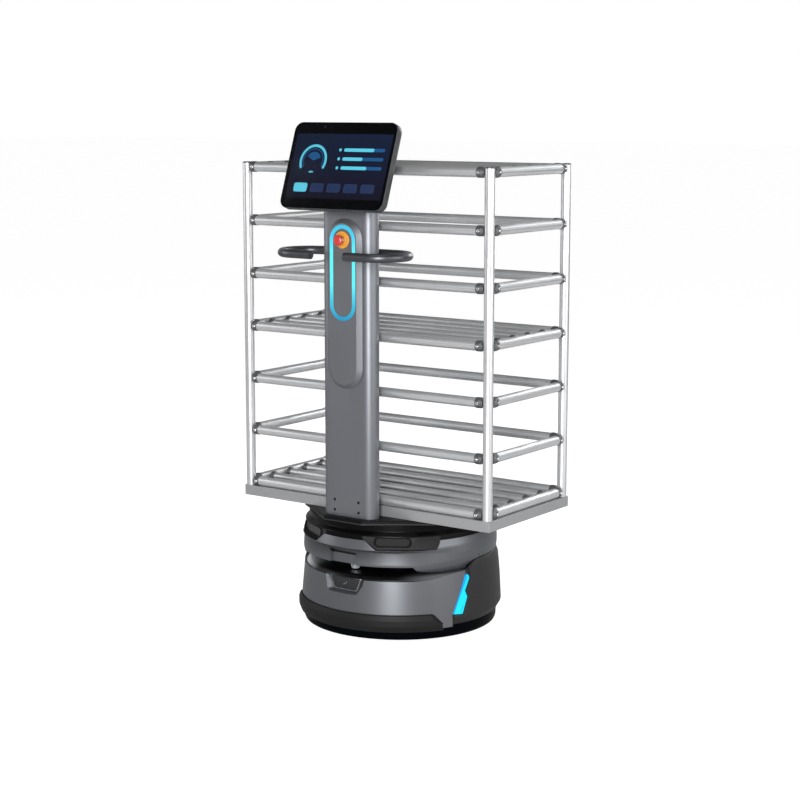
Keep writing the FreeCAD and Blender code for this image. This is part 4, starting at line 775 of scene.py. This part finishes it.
def window_room(side):
    """The room of a camera window, wider at its top, with a long facet on its outer side."""
    outline = [(-45, 255), (118, 255), (132.4, 290), (-87, 290)]
    levels = [
        [(-178, -249, z), (-178, -339, z), (178, -339, z), (178, y, z), (57, -249, z)]
        for y, z in ((-231, 240), (-205, 300))
    ]
    if side < 0:
        outline = mirrored(outline)
        levels = [[(-x, y, z) for x, y, z in reversed(corners)] for corners in levels]
    room = front_cutter(softened(outline, 4), turn=WINDOW_TURN * side)
    pillar = make("cutter", stack(levels), BASE @ spin(WINDOW_TURN * side, "Z"))
    carve(room, pillar, how="INTERSECT")
    room.data.materials.clear()
    room.data.materials.append(RECESS)
    return room


ring = make("upper_ring", lathe(ring_section, 240, -180, 180), BASE, SHELL)
mouth = front_cutter(softened(
    [(-262, 150), (262, 150)] + MOUTH + [(-x, z) for x, z in reversed(MOUTH)],
    [0, 0, 0, 60, 10, 5, 5, 10, 60, 0]))
gap = 1.4
(y0, z0), (y1, z1), (y2, z2), (y3, _) = SHOULDER
flank = side_cutter(softened([
    (y0 - gap, 150), (y0 - gap, z0 + gap), (y1 - gap, z1 + gap), (y2 - gap, z2 + gap + 0.6),
    (y3, 214.4), (30, 214.6), (REACH, 214.6), (REACH, 150),
], [0, *SHOULDER_ROUND, 0, 0, 0]))
notch = front_cutter([(-40, 180), (42, 180), (42, 236), (-33, 236), (-39, 226)], 254, 272,
                     mouth=[(-41, 180), (43, 180), (44, 237), (-52, 244), (-43, 226)])
# The slit's walls and floor take the near black gap finish: painted shade inside the slit.
slit = front_cutter([(-37, 235.5), (42, 235.5), (45, 243), (-46, 247)], 247.5, 280, mat=GAP_SHADE)
carve(ring, mouth, flank, notch, slit)
carve(ring, window_room(1), window_room(-1))
bevel(ring, 0.8)
# Painted shade: the ring's lower band is darkened just under its crease and is lighter towards its bottom;
# this fades out towards the sides.
painted_crease_shade = ring.data.attributes.new("painted_crease_shade", "FLOAT", "POINT")
for vertex, entry in zip(ring.data.vertices, painted_crease_shade.data):
    place = BASE.inverted() @ (vertex.co / MM)
    fade = eased(abs(math.degrees(math.atan2(place.x, -place.y))), 32, 60)
    in_band = math.hypot(place.x, place.y) > 262 and place.z < 253
    low = eased(place.z, 212, 250) if in_band else 0
    entry.value = 1 - 0.55 * low * (1 - fade)
for index, mat in enumerate(ring.data.materials):
    if mat == SHELL:
        ring.data.materials[index] = RING_WITH_PAINTED_SHADE
dress(ring, RING_WITH_PAINTED_SHADE, "shell_grey", "upper_shell")
# Four small holes at the ring's sides, drawn as thin near black discs on its surface: painted shade for
# holes.
dress(make("painted_hole_shade_dots", joined(*[
    moved(plate(circle(1.7, 16), 266.9, 267.5), spin(angle, "Z") @ FACE_FRONT @ spot(0, 221.5, 0))
    for angle in (-88, -92.5, 88, 92.5)
]), BASE), GAP_SHADE, "black")

cap = ring_piece("neck_cap", [
    (0, 312), (244, 312), (244, 279.7), (262.3, 279.7), (260.5, 293), (250, 302), (250, 318.8), (0, 318.8),
], [0, 0, 0, 1, 4, 4, 1, 0], steps=240, mat=CAP)
carve(cap, window_room(1), window_room(-1))
bevel(cap, 0.6)
dress(cap, CAP, "black", "neck_cover")

DECK_OUTLINE = [(-61.5, -261), (61.5, -261), (219, -147), (219, 147), (61.5, 261), (-61.5, 261),
                (-219, 147), (-219, -147)]


def shrunk(outline, inset):
    """A convex outline moved inwards by a distance."""
    out = []
    for i, point in enumerate(outline):
        here = Vector(point)
        back = (here - Vector(outline[i - 1])).normalized()
        ahead = (Vector(outline[(i + 1) % len(outline)]) - here).normalized()
        inward = Vector((-(back.y + ahead.y), back.x + ahead.x)).normalized()
        share = Vector((-back.y, back.x)).dot(inward)
        out.append(tuple(here + inward * inset / share))
    return out


deck_full = softened(DECK_OUTLINE, 5)
deck = make("deck", tiers(
    (deck_full, 323.4), (deck_full, 330.4), (softened(shrunk(DECK_OUTLINE, 2.0), 4), 332),
), BASE, DECK)
deck_edge = make("deck_edge", tiers(
    (softened(shrunk(DECK_OUTLINE, 3.0), 4), 319), (softened(shrunk(DECK_OUTLINE, 0.4), 5), 320.4),
    (deck_full, 321), (deck_full, 323.4),
), BASE, PANEL)
dress(merged("deck", [deck, deck_edge]), DECK, "deck", "deck_plate")


def window(side):
    """A glass bar with rounded ends on a black surround."""
    outer, inner, low = lying_pill(45, 11.75), lying_pill(43.6, 10.4), lying_pill(42.8, 9.6)
    facing = front_view(WINDOW_TURN * side) @ spot(0, 275, 0)
    bar = make("bar", tiers((outer, 249.5), (outer, 251.6), (inner, 252.3), (low, 251.8)), facing,
               GLASS_DARK)
    surround = make("surround", plate(lying_pill(51, 14.4), 249, 249.6), facing, CAP)
    return merged("bar", [bar, surround])


dress(merged("camera_bars", [window(-1), window(1)]), GLASS_DARK, "dark_glass", "camera_windows")

# Scanner: a fixed flange under the slot's roof and the turning drum below it

SCANNER = spot(0, -178.8, 0)
dress(turned("scanner_flange", [
    (0, 208), (18, 208), (18, 206), (16.6, 205), (6.9, 205), (6.9, 196.2), (0, 196.2),
], [0, 0.4, 1, 0.6, 0.3, 0.5, 0], 64, SCANNER), PANEL, "panel_grey", "scanner_base")
drum = turned("scanner_drum", [
    (7.1, 204.7), (15.2, 204.7), (15.5, 203.6), (15, 200.8), (14.3, 200.4), (13, 190.2), (12.6, 189.6),
    (11.9, 186.8), (10.8, 185.7), (0, 185.7), (0, 195.6), (7.1, 195.6),
], [0.3, 0.5, 0.6, 0.4, 0.4, 0.4, 0.4, 0.6, 0.8, 0, 0, 0.3], 72, SCANNER, DRUM)
carve(drum, make("cutter", plate(round_box(3.6, 11.5, 1, 0, 195.4), 0, 30), SCANNER @ FACE_FRONT))
dress(drum, DRUM, "dark_glass", "scanner_head", body="scanner")

# Inside and underneath

CORNERS = [(end, hand) for end in ("front", "rear") for hand in ("left", "right")]
for name, mat in (
    ("base_plate", DECK), ("battery", BATTERY), ("controller", CONTROLLER), ("drive_brackets", STEEL),
    ("swing_arm_left", STEEL), ("swing_arm_right", STEEL), ("castor_plates", STEEL),
    ("column_foot", BLACK), ("screen_mount", STEEL), ("handlebar_clamp", HANDLE),
    *[(f"castor_fork_{end}_{hand}", STEEL) for end, hand in CORNERS],
):
    keep(name, mat)


def drive_wheel(hand, facing):
    """A tyre with four grooves on a hub with a ring of six bolts."""
    low, high = node_box(f"drive_tyre_{hand}")
    across = Matrix.Translation((low + high) / 2) @ facing
    groove = []
    for x in (12, 4, -4, -12):
        groove += [(82.5, x + 1.6), (80.6, x + 0.9), (80.6, x - 0.9), (82.5, x - 1.6)]
    tyre = turned(
        f"tread_{hand}",
        [(69.5, 20), (79.5, 20), (82.5, 17)] + groove + [(82.5, -17), (79.5, -20), (69.5, -20)],
        [1, 2, 2] + [0.3] * len(groove) + [2, 2, 1], 128, across)
    dress(tyre, TYRE, "tyre", f"drive_tyre_{hand}", body=f"wheel_{hand}")
    disc = turned(f"hub_{hand}", [
        (10.05, -18), (60, -18), (66, -16), (69.45, -16), (69.45, 13.9), (62, 13.9), (58, 9), (30, 9),
        (26, 13.9), (10.05, 13.9),
    ], [0, 2, 2, 1, 1, 2, 3, 3, 2, 0.5], 96, across, HUB)
    head = octagon(4.2, 0.1)
    bolt = tiers((head, 8.6), (head, 12.4), (octagon(3.4, 0.1), 13.2))
    bolts = make("bolts", joined(*[moved(bolt, spin(60 * i, "Z") @ spot(44, 0, 0)) for i in range(6)]),
                 across, SCREW)
    dress(merged(f"wheel_hub_{hand}", [disc, bolts]), HUB, "hub", f"drive_hub_{hand}",
          body=f"wheel_{hand}")


drive_wheel("left", FACE_LEFT)
drive_wheel("right", FACE_RIGHT)

HALF_ROLLER = [(4.05, 10.6), (8.5, 10.6), (10, 8.6), (19, 8.6), (21, 11), (25, 11), (27, 8.2)]
HALF_ROUND = [0, 0.6, 1, 1.5, 1.5, 2, 3]
for end, hand in CORNERS:
    wheel = f"castor_wheel_{end}_{hand}"
    low, high = node_box(wheel)
    middle = (low + high) / 2
    roller = turned(
        f"castor_roller_{end}_{hand}", [(r, -x) for r, x in HALF_ROLLER] + list(reversed(HALF_ROLLER)),
        HALF_ROUND + list(reversed(HALF_ROUND)), 72, Matrix.Translation(middle) @ FACE_RIGHT, TYRE)
    roller.data.materials.append(STEEL)
    for face in roller.data.polygons:
        away = face.center - middle * MM
        if math.hypot(away.y, away.z) < 20.2 * MM:
            face.material_index = 1
    dress(roller, TYRE, "tyre", wheel, body=wheel)

# Column, control panel and emergency stop

COLUMN_FRONT = -218.3
column = make("column_tube", tiers(*[
    (lying_pill(83.2 - inset, 25.7 - inset, 24), z) for inset, z in (
        (1.2, 332), (0.2, 332.4), (0, 333.4), (0, 1224.6), (0.3, 1225.6), (1.2, 1226))
]), spot(0, -192.6, 0), COLUMN)
screw_spots = [(x, z) for x in (-39.4, 39.4) for z in (347.6, 375.1)]
# The screw wells' walls take the near black gap finish: painted shade inside the wells.
carve(column, *[
    make("well", lathe([(0, 0), (4, 0), (4, 20), (0, 20)], 32),
         spot(x, COLUMN_FRONT + 2.2, z) @ FACE_FRONT, GAP_SHADE) for x, z in screw_spots
])
dress(column, COLUMN, "column_grey", "column")

screw = tiers(*[(circle(r, 24), z) for r, z in ((3.6, 0), (3.6, 1.2), (3.2, 1.6), (1.9, 1.6), (1.7, 0.4))])
dress(make("column_bolts", joined(*[
    moved(screw, spot(x, COLUMN_FRONT + 2.1, z) @ FACE_FRONT) for x, z in screw_spots
])), SCREW, "screw", "column_screws")

POD = spot(0, COLUMN_FRONT, 0) @ FACE_FRONT
POD_ENDS = (732.6, 1065.6)
LOOP_ENDS = (897.5, 1065.4)


def pod_rings(ends, *rows):
    """Tiers of stadium outlines around two centres; rows are (half width, height)."""
    return [(pill(half, *ends, 28), out) for half, out in rows]


dress(make("panel_housing", tiers(
    *pod_rings(POD_ENDS, (53.8, 0), (53.8, 1.5), (56, 1.5), (56, 1.9), (55.4, 2.4), (45.4, 12.2),
               (44.8, 12.8), (43.8, 13)),
    *pod_rings(LOOP_ENDS, (41.4, 13), (41.2, 12.6), (41.2, 9.8), (30.8, 9.8), (30.8, 12.6), (30.4, 13)),
), POD, COLUMN, sharp=24), COLUMN, "column_grey", "control_pod")
dress(make("glow_loop", tiers(
    *pod_rings(LOOP_ENDS, (41, 9.9), (41, 13), (40.2, 13.7), (38.6, 13.8), (33.4, 13.8), (31.8, 13.7),
               (31, 13), (31, 9.9), (41, 9.9)),
    cap=False), POD), LIGHT, "light", "light_loop")

STOP_Y = 231.3
STOP = spot(0, -STOP_Y, 1067) @ FACE_FRONT
collar = turned("stop_base", [
    (7.2, 0), (22.5, 0), (22.5, 2.2), (21, 3.5), (15.5, 3.5), (14.5, 2.9), (13.5, 3.5), (11, 3.5),
    (11, 4.6), (10.4, 5.2), (10.4, 6.2), (11, 6.8), (11, 9.4), (10, 10.5), (7.2, 10.5),
], [0, 0.4, 1.4, 1.2, 0.6, 0.6, 0.6, 0.3, 0.3, 0.3, 0.3, 0.3, 1, 0.6, 0.3], 72, STOP, STOP_RING)
collar.data.materials.append(STOP_ROD)
for face in collar.data.polygons:
    if -face.center.y / MM - STOP_Y > 3.7:
        face.material_index = 1
dress(collar, STOP_RING, "stop_ring", "stop_collar")
dress(turned("stop_plunger_rod", [(0, -8.5), (6.95, -8.5), (6.95, 19.4), (0, 19.4)], [0, 0.4, 0.6, 0], 48,
             STOP), STOP_ROD, "stop_rod", "stop_stem", body="stop_plunger")
mushroom = turned("stop_mushroom", [
    (7, 15.5), (12.6, 15.5), (14, 16.6), (14, 19.6), (12.6, 22.2), (9.8, 23.9), (9.2, 23.4), (0, 23.8),
    (0, 20.6), (7, 20.6),
], [0.3, 1, 1.5, 2, 2, 0.8, 0.8, 0, 0, 0], 72, STOP, STOP_RED)


def dial(x, y, outer, inner, start, end, count=48):
    """A flat arc of even width."""
    return arc((x, y), outer, start, end, count) + list(reversed(arc((x, y), inner, start, end, count)))


# Three small raised arcs on the head show the way to turn it
arrow = plate(dial(0, 0, 7.6, 6.2, -38, 30, 14), 23.2, 23.98)
marks = make("arrows", joined(*[moved(arrow, spin(turn, "Z")) for turn in (0, 120, 240)]), STOP, STOP_RED)
dress(merged("stop_mushroom_head", [mushroom, marks]), STOP_RED, "stop_red", "stop_head",
      body="stop_head")

# Handlebar

BAR_RADIUS = 11.5
BAR_HEIGHT = 1030
BAR_FRONT, BAR_REAR = -293.4, -150.4
BAR_BEND, BAR_END = 117, 55


def bar_path():
    """The bar's middle line as (x, y, outward direction), from one free end to the other."""
    middle, radius = (BAR_FRONT + BAR_REAR) / 2, (BAR_REAR - BAR_FRONT) / 2
    run = BAR_BEND - BAR_END
    path = [(BAR_END + run * i / 5, BAR_FRONT, 0, -1) for i in range(5)]
    for x, y in arc((BAR_BEND, middle), radius, -90, 90, 40):
        path.append((x, y, (x - BAR_BEND) / radius, (y - middle) / radius))
    path += [(BAR_BEND - 2 * BAR_BEND * i / 8, BAR_REAR, 0, 1) for i in range(1, 8)]
    for x, y in arc((-BAR_BEND, middle), radius, 90, 270, 40):
        path.append((x, y, (x + BAR_BEND) / radius, (y - middle) / radius))
    path += [(-BAR_BEND + run * i / 5, BAR_FRONT, 0, -1) for i in range(1, 6)]
    return path


def bar_ring(x, y, across, along):
    return [(x + across * out, y + along * out, BAR_HEIGHT + up) for out, up in circle(BAR_RADIUS, 36)]


dress(make("grip_bar", stack([bar_ring(*point) for point in bar_path()])), HANDLE, "handle", "handlebar")
bar_cap = lathe(softened([(0, 0), (BAR_RADIUS, 0), (BAR_RADIUS, 1.2), (10.2, 2.9), (0, 3)],
                         [0, 0.3, 1.2, 1.5, 0]), 36)
dress(make("grip_caps", joined(*[
    moved(bar_cap, spot(x, BAR_FRONT, BAR_HEIGHT) @ turn)
    for x, turn in ((57.4, FACE_LEFT), (-57.4, FACE_RIGHT))
])), BLACK, "handle", "handlebar_caps")

# Screen: local X across, local Y up its face, local Z out of the glass

SCREEN = spot(0, -248.8, 1257) @ spin(70.5, "X")
UP = 1.3
SCREEN_WIDE, SCREEN_TALL = 332, 232.7
DISPLAY_WIDE, DISPLAY_TALL = 310, 174


def face_rings(*rows):
    """Tiers of the screen's outline; rows are (inset, height)."""
    return tiers(*[
        (round_box(SCREEN_WIDE - 2 * inset, SCREEN_TALL - 2 * inset, 24 - inset, 0, UP, 12), out)
        for inset, out in rows
    ])


housing = make("screen_shell", face_rings(
    (9, -24), (4, -23.7), (1.6, -22.4), (0.4, -20.2), (0, -17.5), (0, -1.6), (0.3, -0.8), (0.9, -0.45),
    (1.1, -0.5), (1.1, -2.7), (8, -2.7), (8, -5)), SCREEN, HOUSING)
HALF_TALL = SCREEN_TALL / 2
# The key's room and the ports take the near black gap finish in their cuts: painted shade.
key_room = make("cutter", plate(round_box(25.8, 42, 0.3, 26, UP + HALF_TALL + 13.5), -20.4, -11.6),
                SCREEN, GAP_SHADE)
ports = [
    make("port", plate(round_box(9, 14, 1.5, x, UP - HALF_TALL + 3), -14, -9), SCREEN, GAP_SHADE)
    for x in (-140, -105)
]
carve(housing, key_room, *ports)
dress(housing, HOUSING, "black", "screen_back")
dress(make("screen_button", stack([
    [(x, y, z) for x, z in round_box(wide, deep, corner, 26, -16, 5)]
    for wide, deep, corner, y in ((25, 8, 3, 112.8), (25, 8, 3, 118.9), (23.6, 6.6, 2.4, 119.9))
]), SCREEN), BUTTON, "button", "screen_key", body="screen_key")

glass = bpy.data.materials.new("cover glass")
glass.use_nodes = True
tree = glass.node_tree
tree.nodes.remove(tree.nodes["Principled BSDF"])
smudge = node(tree, "TexNoise", Scale=26)
smear = node(tree, "MapRange", [(smudge.outputs["Fac"], "Value")], To_Min=0.07, To_Max=0.13)
shine = node(tree, "BsdfPrincipled", [(smear.outputs["Result"], "Roughness")],
             Base_Color=(0.004, 0.005, 0.007, 1))
clear = node(tree, "BsdfTransparent")
facing = node(tree, "Fresnel", IOR=1.45)
mixer = node(tree, "MixShader", [(facing.outputs["Fac"], "Fac"), (clear.outputs[0], 1),
                                 (shine.outputs[0], 2)])
tree.links.new(mixer.outputs[0], tree.nodes["Material Output"].inputs["Surface"])
dress(make("cover_glass", face_rings((1.6, -2.4), (1.3, -2.1), (1.3, -0.5), (1.6, -0.12), (2.2, 0)), SCREEN),
      glass, "screen_glass", "screen_glass")

border = make("screen_border", plate(round_box(329.2, 229.9, 22.5, 0, UP, 12), -2.68, -2.5), SCREEN, BEZEL)
carve(border, make("cutter", plate(round_box(DISPLAY_WIDE, DISPLAY_TALL, 1), -6, 0), SCREEN))
lens_ring = make("camera_ring", lathe([(0, -2.5), (3.4, -2.5), (3.4, -2.42), (2.2, -2.46), (0, -2.44)], 32),
                 SCREEN @ spot(-69, 105.5, 0), PANEL)
sensor = make("light_sensor", lathe([(0, -2.5), (1.6, -2.5), (1.6, -2.44), (0, -2.42)], 24),
              SCREEN @ spot(-46, 105, 0), PANEL)
dress(merged("display_border", [border, lens_ring, sensor]), BEZEL, "screen_glass")

DISPLAY = finish("display ground", (3, 3, 5), 0.5, 0, 0.05, 2500, 0, specular=0)
ramped(DISPLAY, "Emission Color", "Z", 1.175, 1.335, [(0, (27, 25, 40)), (1, (27, 38, 64))])
dress(make("display_ground", plate(round_box(DISPLAY_WIDE, DISPLAY_TALL, 0.6, 0, 0, 2), -4, -2.9), SCREEN),
      DISPLAY, "display", "screen_panel")
CYAN = finish("display cyan", (10, 20, 24), 0.4, 0, 0.02, 2500, 0, glow=(102, 226, 255))
TEAL = finish("display blue", (6, 10, 20), 0.4, 0, 0.02, 2500, 0, glow=(24, 92, 148))
NAVY = finish("display navy", (6, 8, 16), 0.4, 0, 0.02, 2500, 0, glow=(34, 52, 92))


def drawn(name, outlines, mat, out):
    """Thin flat marks on the display."""
    return make(name, joined(*[plate(outline, out - 0.02, out) for outline in outlines]), SCREEN, mat)


gauge = (-86, 14)
rows_up = (44, 20, -4)
cyan_marks = [
    dial(*gauge, 44, 37, -30, 210), round_box(14, 4, 2, gauge[0], gauge[1] - 30),
    *[round_box(wide, 9, 4.5, 8 + wide / 2, y) for wide, y in zip((96, 64, 82), rows_up)],
    *[circle(4.2, 24, -4, y) for y in rows_up], round_box(44, 24, 6, -110, -58),
]
teal_marks = [dial(*gauge, 33, 30.6, -30, 210), dial(*gauge, 24, 0.5, 20, 150)]
teal_marks += [round_box(130, 9, 4.5, 73, y) for y in rows_up]
navy_marks = [round_box(44, 24, 6, x, -58) for x in (-56, -2, 52, 106)]
dress(merged("display_drawing", [
    drawn("cyan", cyan_marks, CYAN, -2.80), drawn("teal", teal_marks, TEAL, -2.84),
    drawn("navy", navy_marks, NAVY, -2.86),
]), CYAN, "display")

# Rack: tray, posts, rails, slats and links

POST_LOW, POST_HIGH = node_box("posts")
TRAY_LOW, TRAY_HIGH = node_box("tray")
TUBE = 13
SLAT = 11
POST_X = 394.5
POST_YS = (-141.2, 229.8)
RACK_Y = sum(POST_YS) / 2
LEVELS = [373.3 + 145.4 * i for i in range(7)]
SHELVES = (LEVELS[0], LEVELS[3], LEVELS[6])
SLAT_YS = [RACK_Y + d for d in (-111.3, -37.1, 37.1, 111.3)]
SETBACK = 34
TRAY_BAR = 40

tray_wide, tray_deep, tray_tall = TRAY_HIGH - TRAY_LOW
tray_y = (TRAY_LOW.y + TRAY_HIGH.y) / 2


def bar_block(wide, deep, tall, x, z):
    return make("bar", plate(round_box(wide, deep, 0.6, x, tray_y, 1), z, z + tall))


tray = bar_block(tray_wide, tray_deep, tray_tall, 0, TRAY_LOW.z)
tray.data.materials.append(TRAY)
carve(tray, bar_block(tray_wide - 2 * TRAY_BAR, tray_deep - 2 * TRAY_BAR, 100, 0, TRAY_LOW.z - 30))
for x in (-200, 200):
    carve(tray, bar_block(TRAY_BAR, tray_deep - 60, tray_tall - 0.6, x, TRAY_LOW.z + 0.3), how="UNION")
bevel(tray, 1.4, 3)
dress(tray, TRAY, "tray", "tray")


def tube(length, radius=TUBE, count=40):
    """A drawn tube's outside along Z, with softened ends."""
    full = circle(radius, count)
    end = [(x * 0.96, y * 0.96) for x, y in full]
    return tiers((end, 0), (full, 0.5), (full, length - 0.5), (end, length))


def set_of(name, shape, places, mat, slot, *replaced):
    """The same solid at many places, as one piece."""
    dress(make(name, joined(*[moved(shape, place) for place in places])), mat, slot, *replaced)


set_of("post_tubes", tube(POST_HIGH.z - POST_LOW.z),
       [spot(side * POST_X, y, POST_LOW.z) for side in (-1, 1) for y in POST_YS], TUBE_Z, "tube", "posts")
set_of("post_tops", lathe(softened([(0, 0), (13, 0), (13, 1.6), (11, 3.4), (0, 4)], [0, 0.2, 1, 2.5, 0]), 36),
       [spot(side * POST_X, y, 1256) for side in (-1, 1) for y in POST_YS], LINK, "link", "post_caps")
long_half = POST_X - SETBACK
set_of("long_rail_tubes", tube(2 * long_half),
       [spot(-long_half, y, z) @ FACE_RIGHT for z in LEVELS for y in POST_YS], TUBE_X, "tube", "long_rails")
set_of("side_rail_tubes", tube(POST_YS[1] - POST_YS[0] - 2 * SETBACK),
       [spot(side * POST_X, POST_YS[0] + SETBACK, z) @ FACE_BACK for z in LEVELS for side in (-1, 1)],
       TUBE_Y, "tube", "side_rails")
slat_half = POST_X - TUBE - 14
set_of("shelf_slats", tube(2 * slat_half, SLAT, 32),
       [spot(-slat_half, y, z) @ FACE_RIGHT for z in SHELVES for y in SLAT_YS], TUBE_X, "tube", "slats")

# A cast link runs along +Z from a post's face to the end of a rail, and its round boss and
# socket screw stand up from a flat of it
link_shape = tiers(*[(octagon(flat), z) for flat, z in (
    (9.6, 12.9), (10.6, 14.2), (11, 17), (12.7, 18.6), (13.3, 19.6), (13.3, 32.8), (12.6, 34))])
slat_link = tiers(*[(octagon(flat), z) for flat, z in (
    (10, 12.9), (11.6, 15), (12.4, 16), (12.4, 26.4), (11.8, 27))])
boss_shape = lathe(softened([(0, 12), (7.6, 12), (7.6, 13.9), (6.9, 14.5), (5.2, 14.5), (5, 13.9), (0, 13.9)],
                            [0, 0, 0.5, 0.5, 0.3, 0.3, 0]), 28)
screw_shape = lathe(softened([(0, 13.6), (4.8, 13.6), (4.8, 15.6), (4, 16.3), (2.3, 16.3), (2.1, 14.9),
                              (0, 14.9)], [0, 0, 0.5, 0.5, 0.2, 0.2, 0]), 24)
BOLT_AT = 26
bodies, bosses, heads = [], [], []
for z in LEVELS:
    for side, inward, outward in ((-1, FACE_RIGHT, FACE_LEFT), (1, FACE_LEFT, FACE_RIGHT)):
        for fore, y, away, along in ((-1, POST_YS[0], FACE_FRONT, FACE_BACK),
                                     (1, POST_YS[1], FACE_BACK, FACE_FRONT)):
            post = spot(side * POST_X, y, z)
            bodies += [moved(link_shape, post @ inward), moved(link_shape, post @ along)]
            for place in (spot(side * (POST_X - BOLT_AT), y, z) @ away,
                          spot(side * POST_X, y - fore * BOLT_AT, z) @ outward):
                bosses.append(moved(boss_shape, place))
                heads.append(moved(screw_shape, place))
for z in SHELVES:
    for y in SLAT_YS:
        for side, inward in ((-1, FACE_RIGHT), (1, FACE_LEFT)):
            bodies.append(moved(slat_link, spot(side * POST_X, y, z) @ inward))
links = merged("cast_links", [
    make("cast", joined(*bodies, *bosses), mat=LINK), make("heads", joined(*heads), mat=BOLT),
])
dress(links, LINK, "link", "rail_links")

# Floor, light and camera

floor_mesh = bpy.data.meshes.new("floor")
floor_mesh.from_pydata([(-60, -60, 0), (60, -60, 0), (60, 60, 0), (-60, 60, 0)], [], [(0, 1, 2, 3)])
floor = bpy.data.objects.new("floor", floor_mesh)
scene.collection.objects.link(floor)
ground = bpy.data.materials.new("pale floor")
ground.use_nodes = True
tree = ground.node_tree
tree.nodes.remove(tree.nodes["Principled BSDF"])
lit = node(tree, "BsdfDiffuse", Color=(0.6, 0.6, 0.6, 1))
faint = node(tree, "BsdfDiffuse", Color=(0.45, 0.45, 0.45, 1))
lift = node(tree, "Emission", Color=(0.92, 0.92, 0.92, 1))
seen = node(tree, "AddShader", [(faint.outputs[0], 0), (lift.outputs[0], 1)])
path = node(tree, "LightPath")
choose = node(tree, "MixShader", [(path.outputs["Is Camera Ray"], "Fac"), (lit.outputs[0], 1),
                                  (seen.outputs[0], 2)])
tree.links.new(choose.outputs[0], tree.nodes["Material Output"].inputs["Surface"])
floor_mesh.materials.append(ground)

world = bpy.data.worlds.new("studio")
scene.world = world
world.use_nodes = True
tree = world.node_tree
path = node(tree, "LightPath")
white_for = node(tree, "Math", [(path.outputs["Is Camera Ray"], 0), (path.outputs["Is Transmission Ray"], 1)])
white_for.operation = "MAXIMUM"
split = node(tree, "SeparateXYZ", [(node(tree, "TexCoord").outputs["Generated"], 0)])
height = node(tree, "MapRange", [(split.outputs["Z"], "Value")], From_Min=0, From_Max=0.8, To_Min=0.58,
              To_Max=0.03)
sky = node(tree, "MixRGB", [(white_for.outputs[0], "Fac"), (height.outputs["Result"], "Color1")],
           Color2=(1, 1, 1, 1))
tree.links.new(sky.outputs[0], tree.nodes["Background"].inputs["Color"])


def softbox(name, azimuth, height, distance, wide, tall, watts):
    """A rectangular lamp at an angle from -Y towards +X, aimed at the robot."""
    lamp = bpy.data.lights.new(name, "AREA")
    lamp.shape = "RECTANGLE"
    lamp.size = wide
    lamp.size_y = tall
    lamp.energy = watts
    holder = bpy.data.objects.new(name, lamp)
    scene.collection.objects.link(holder)
    angle = math.radians(azimuth)
    holder.location = (distance * math.sin(angle), -distance * math.cos(angle), height)
    aim = Vector((0, 0.02, 0.7)) - holder.location
    holder.rotation_euler = aim.to_track_quat("-Z", "Y").to_euler()


softbox("front_key", 27, 1.5, 4.4, 1.3, 2.6, 200)
softbox("right_soft", 92, 1.6, 4.0, 3.6, 2.6, 80)
softbox("left_fill", -60, 1.8, 4.2, 1.6, 2.4, 30)
softbox("back_fill", 175, 2.2, 4.4, 2.4, 2.0, 80)
softbox("top_soft", 0, 4.4, 0.6, 2.0, 2.0, 15)

camera = bpy.data.objects.new("camera", bpy.data.cameras.new("camera"))
scene.collection.objects.link(camera)
camera.data.sensor_width = 36.0
camera.data.lens = 81.83
camera.data.clip_end = 200.0
camera.location = (2.869, -3.964, 1.4068)
camera.rotation_euler = (math.radians(90 - 9.16), 0, math.radians(35.73))
scene.camera = camera
scene.view_settings.view_transform = "Standard"

low, high = CAD_BOX
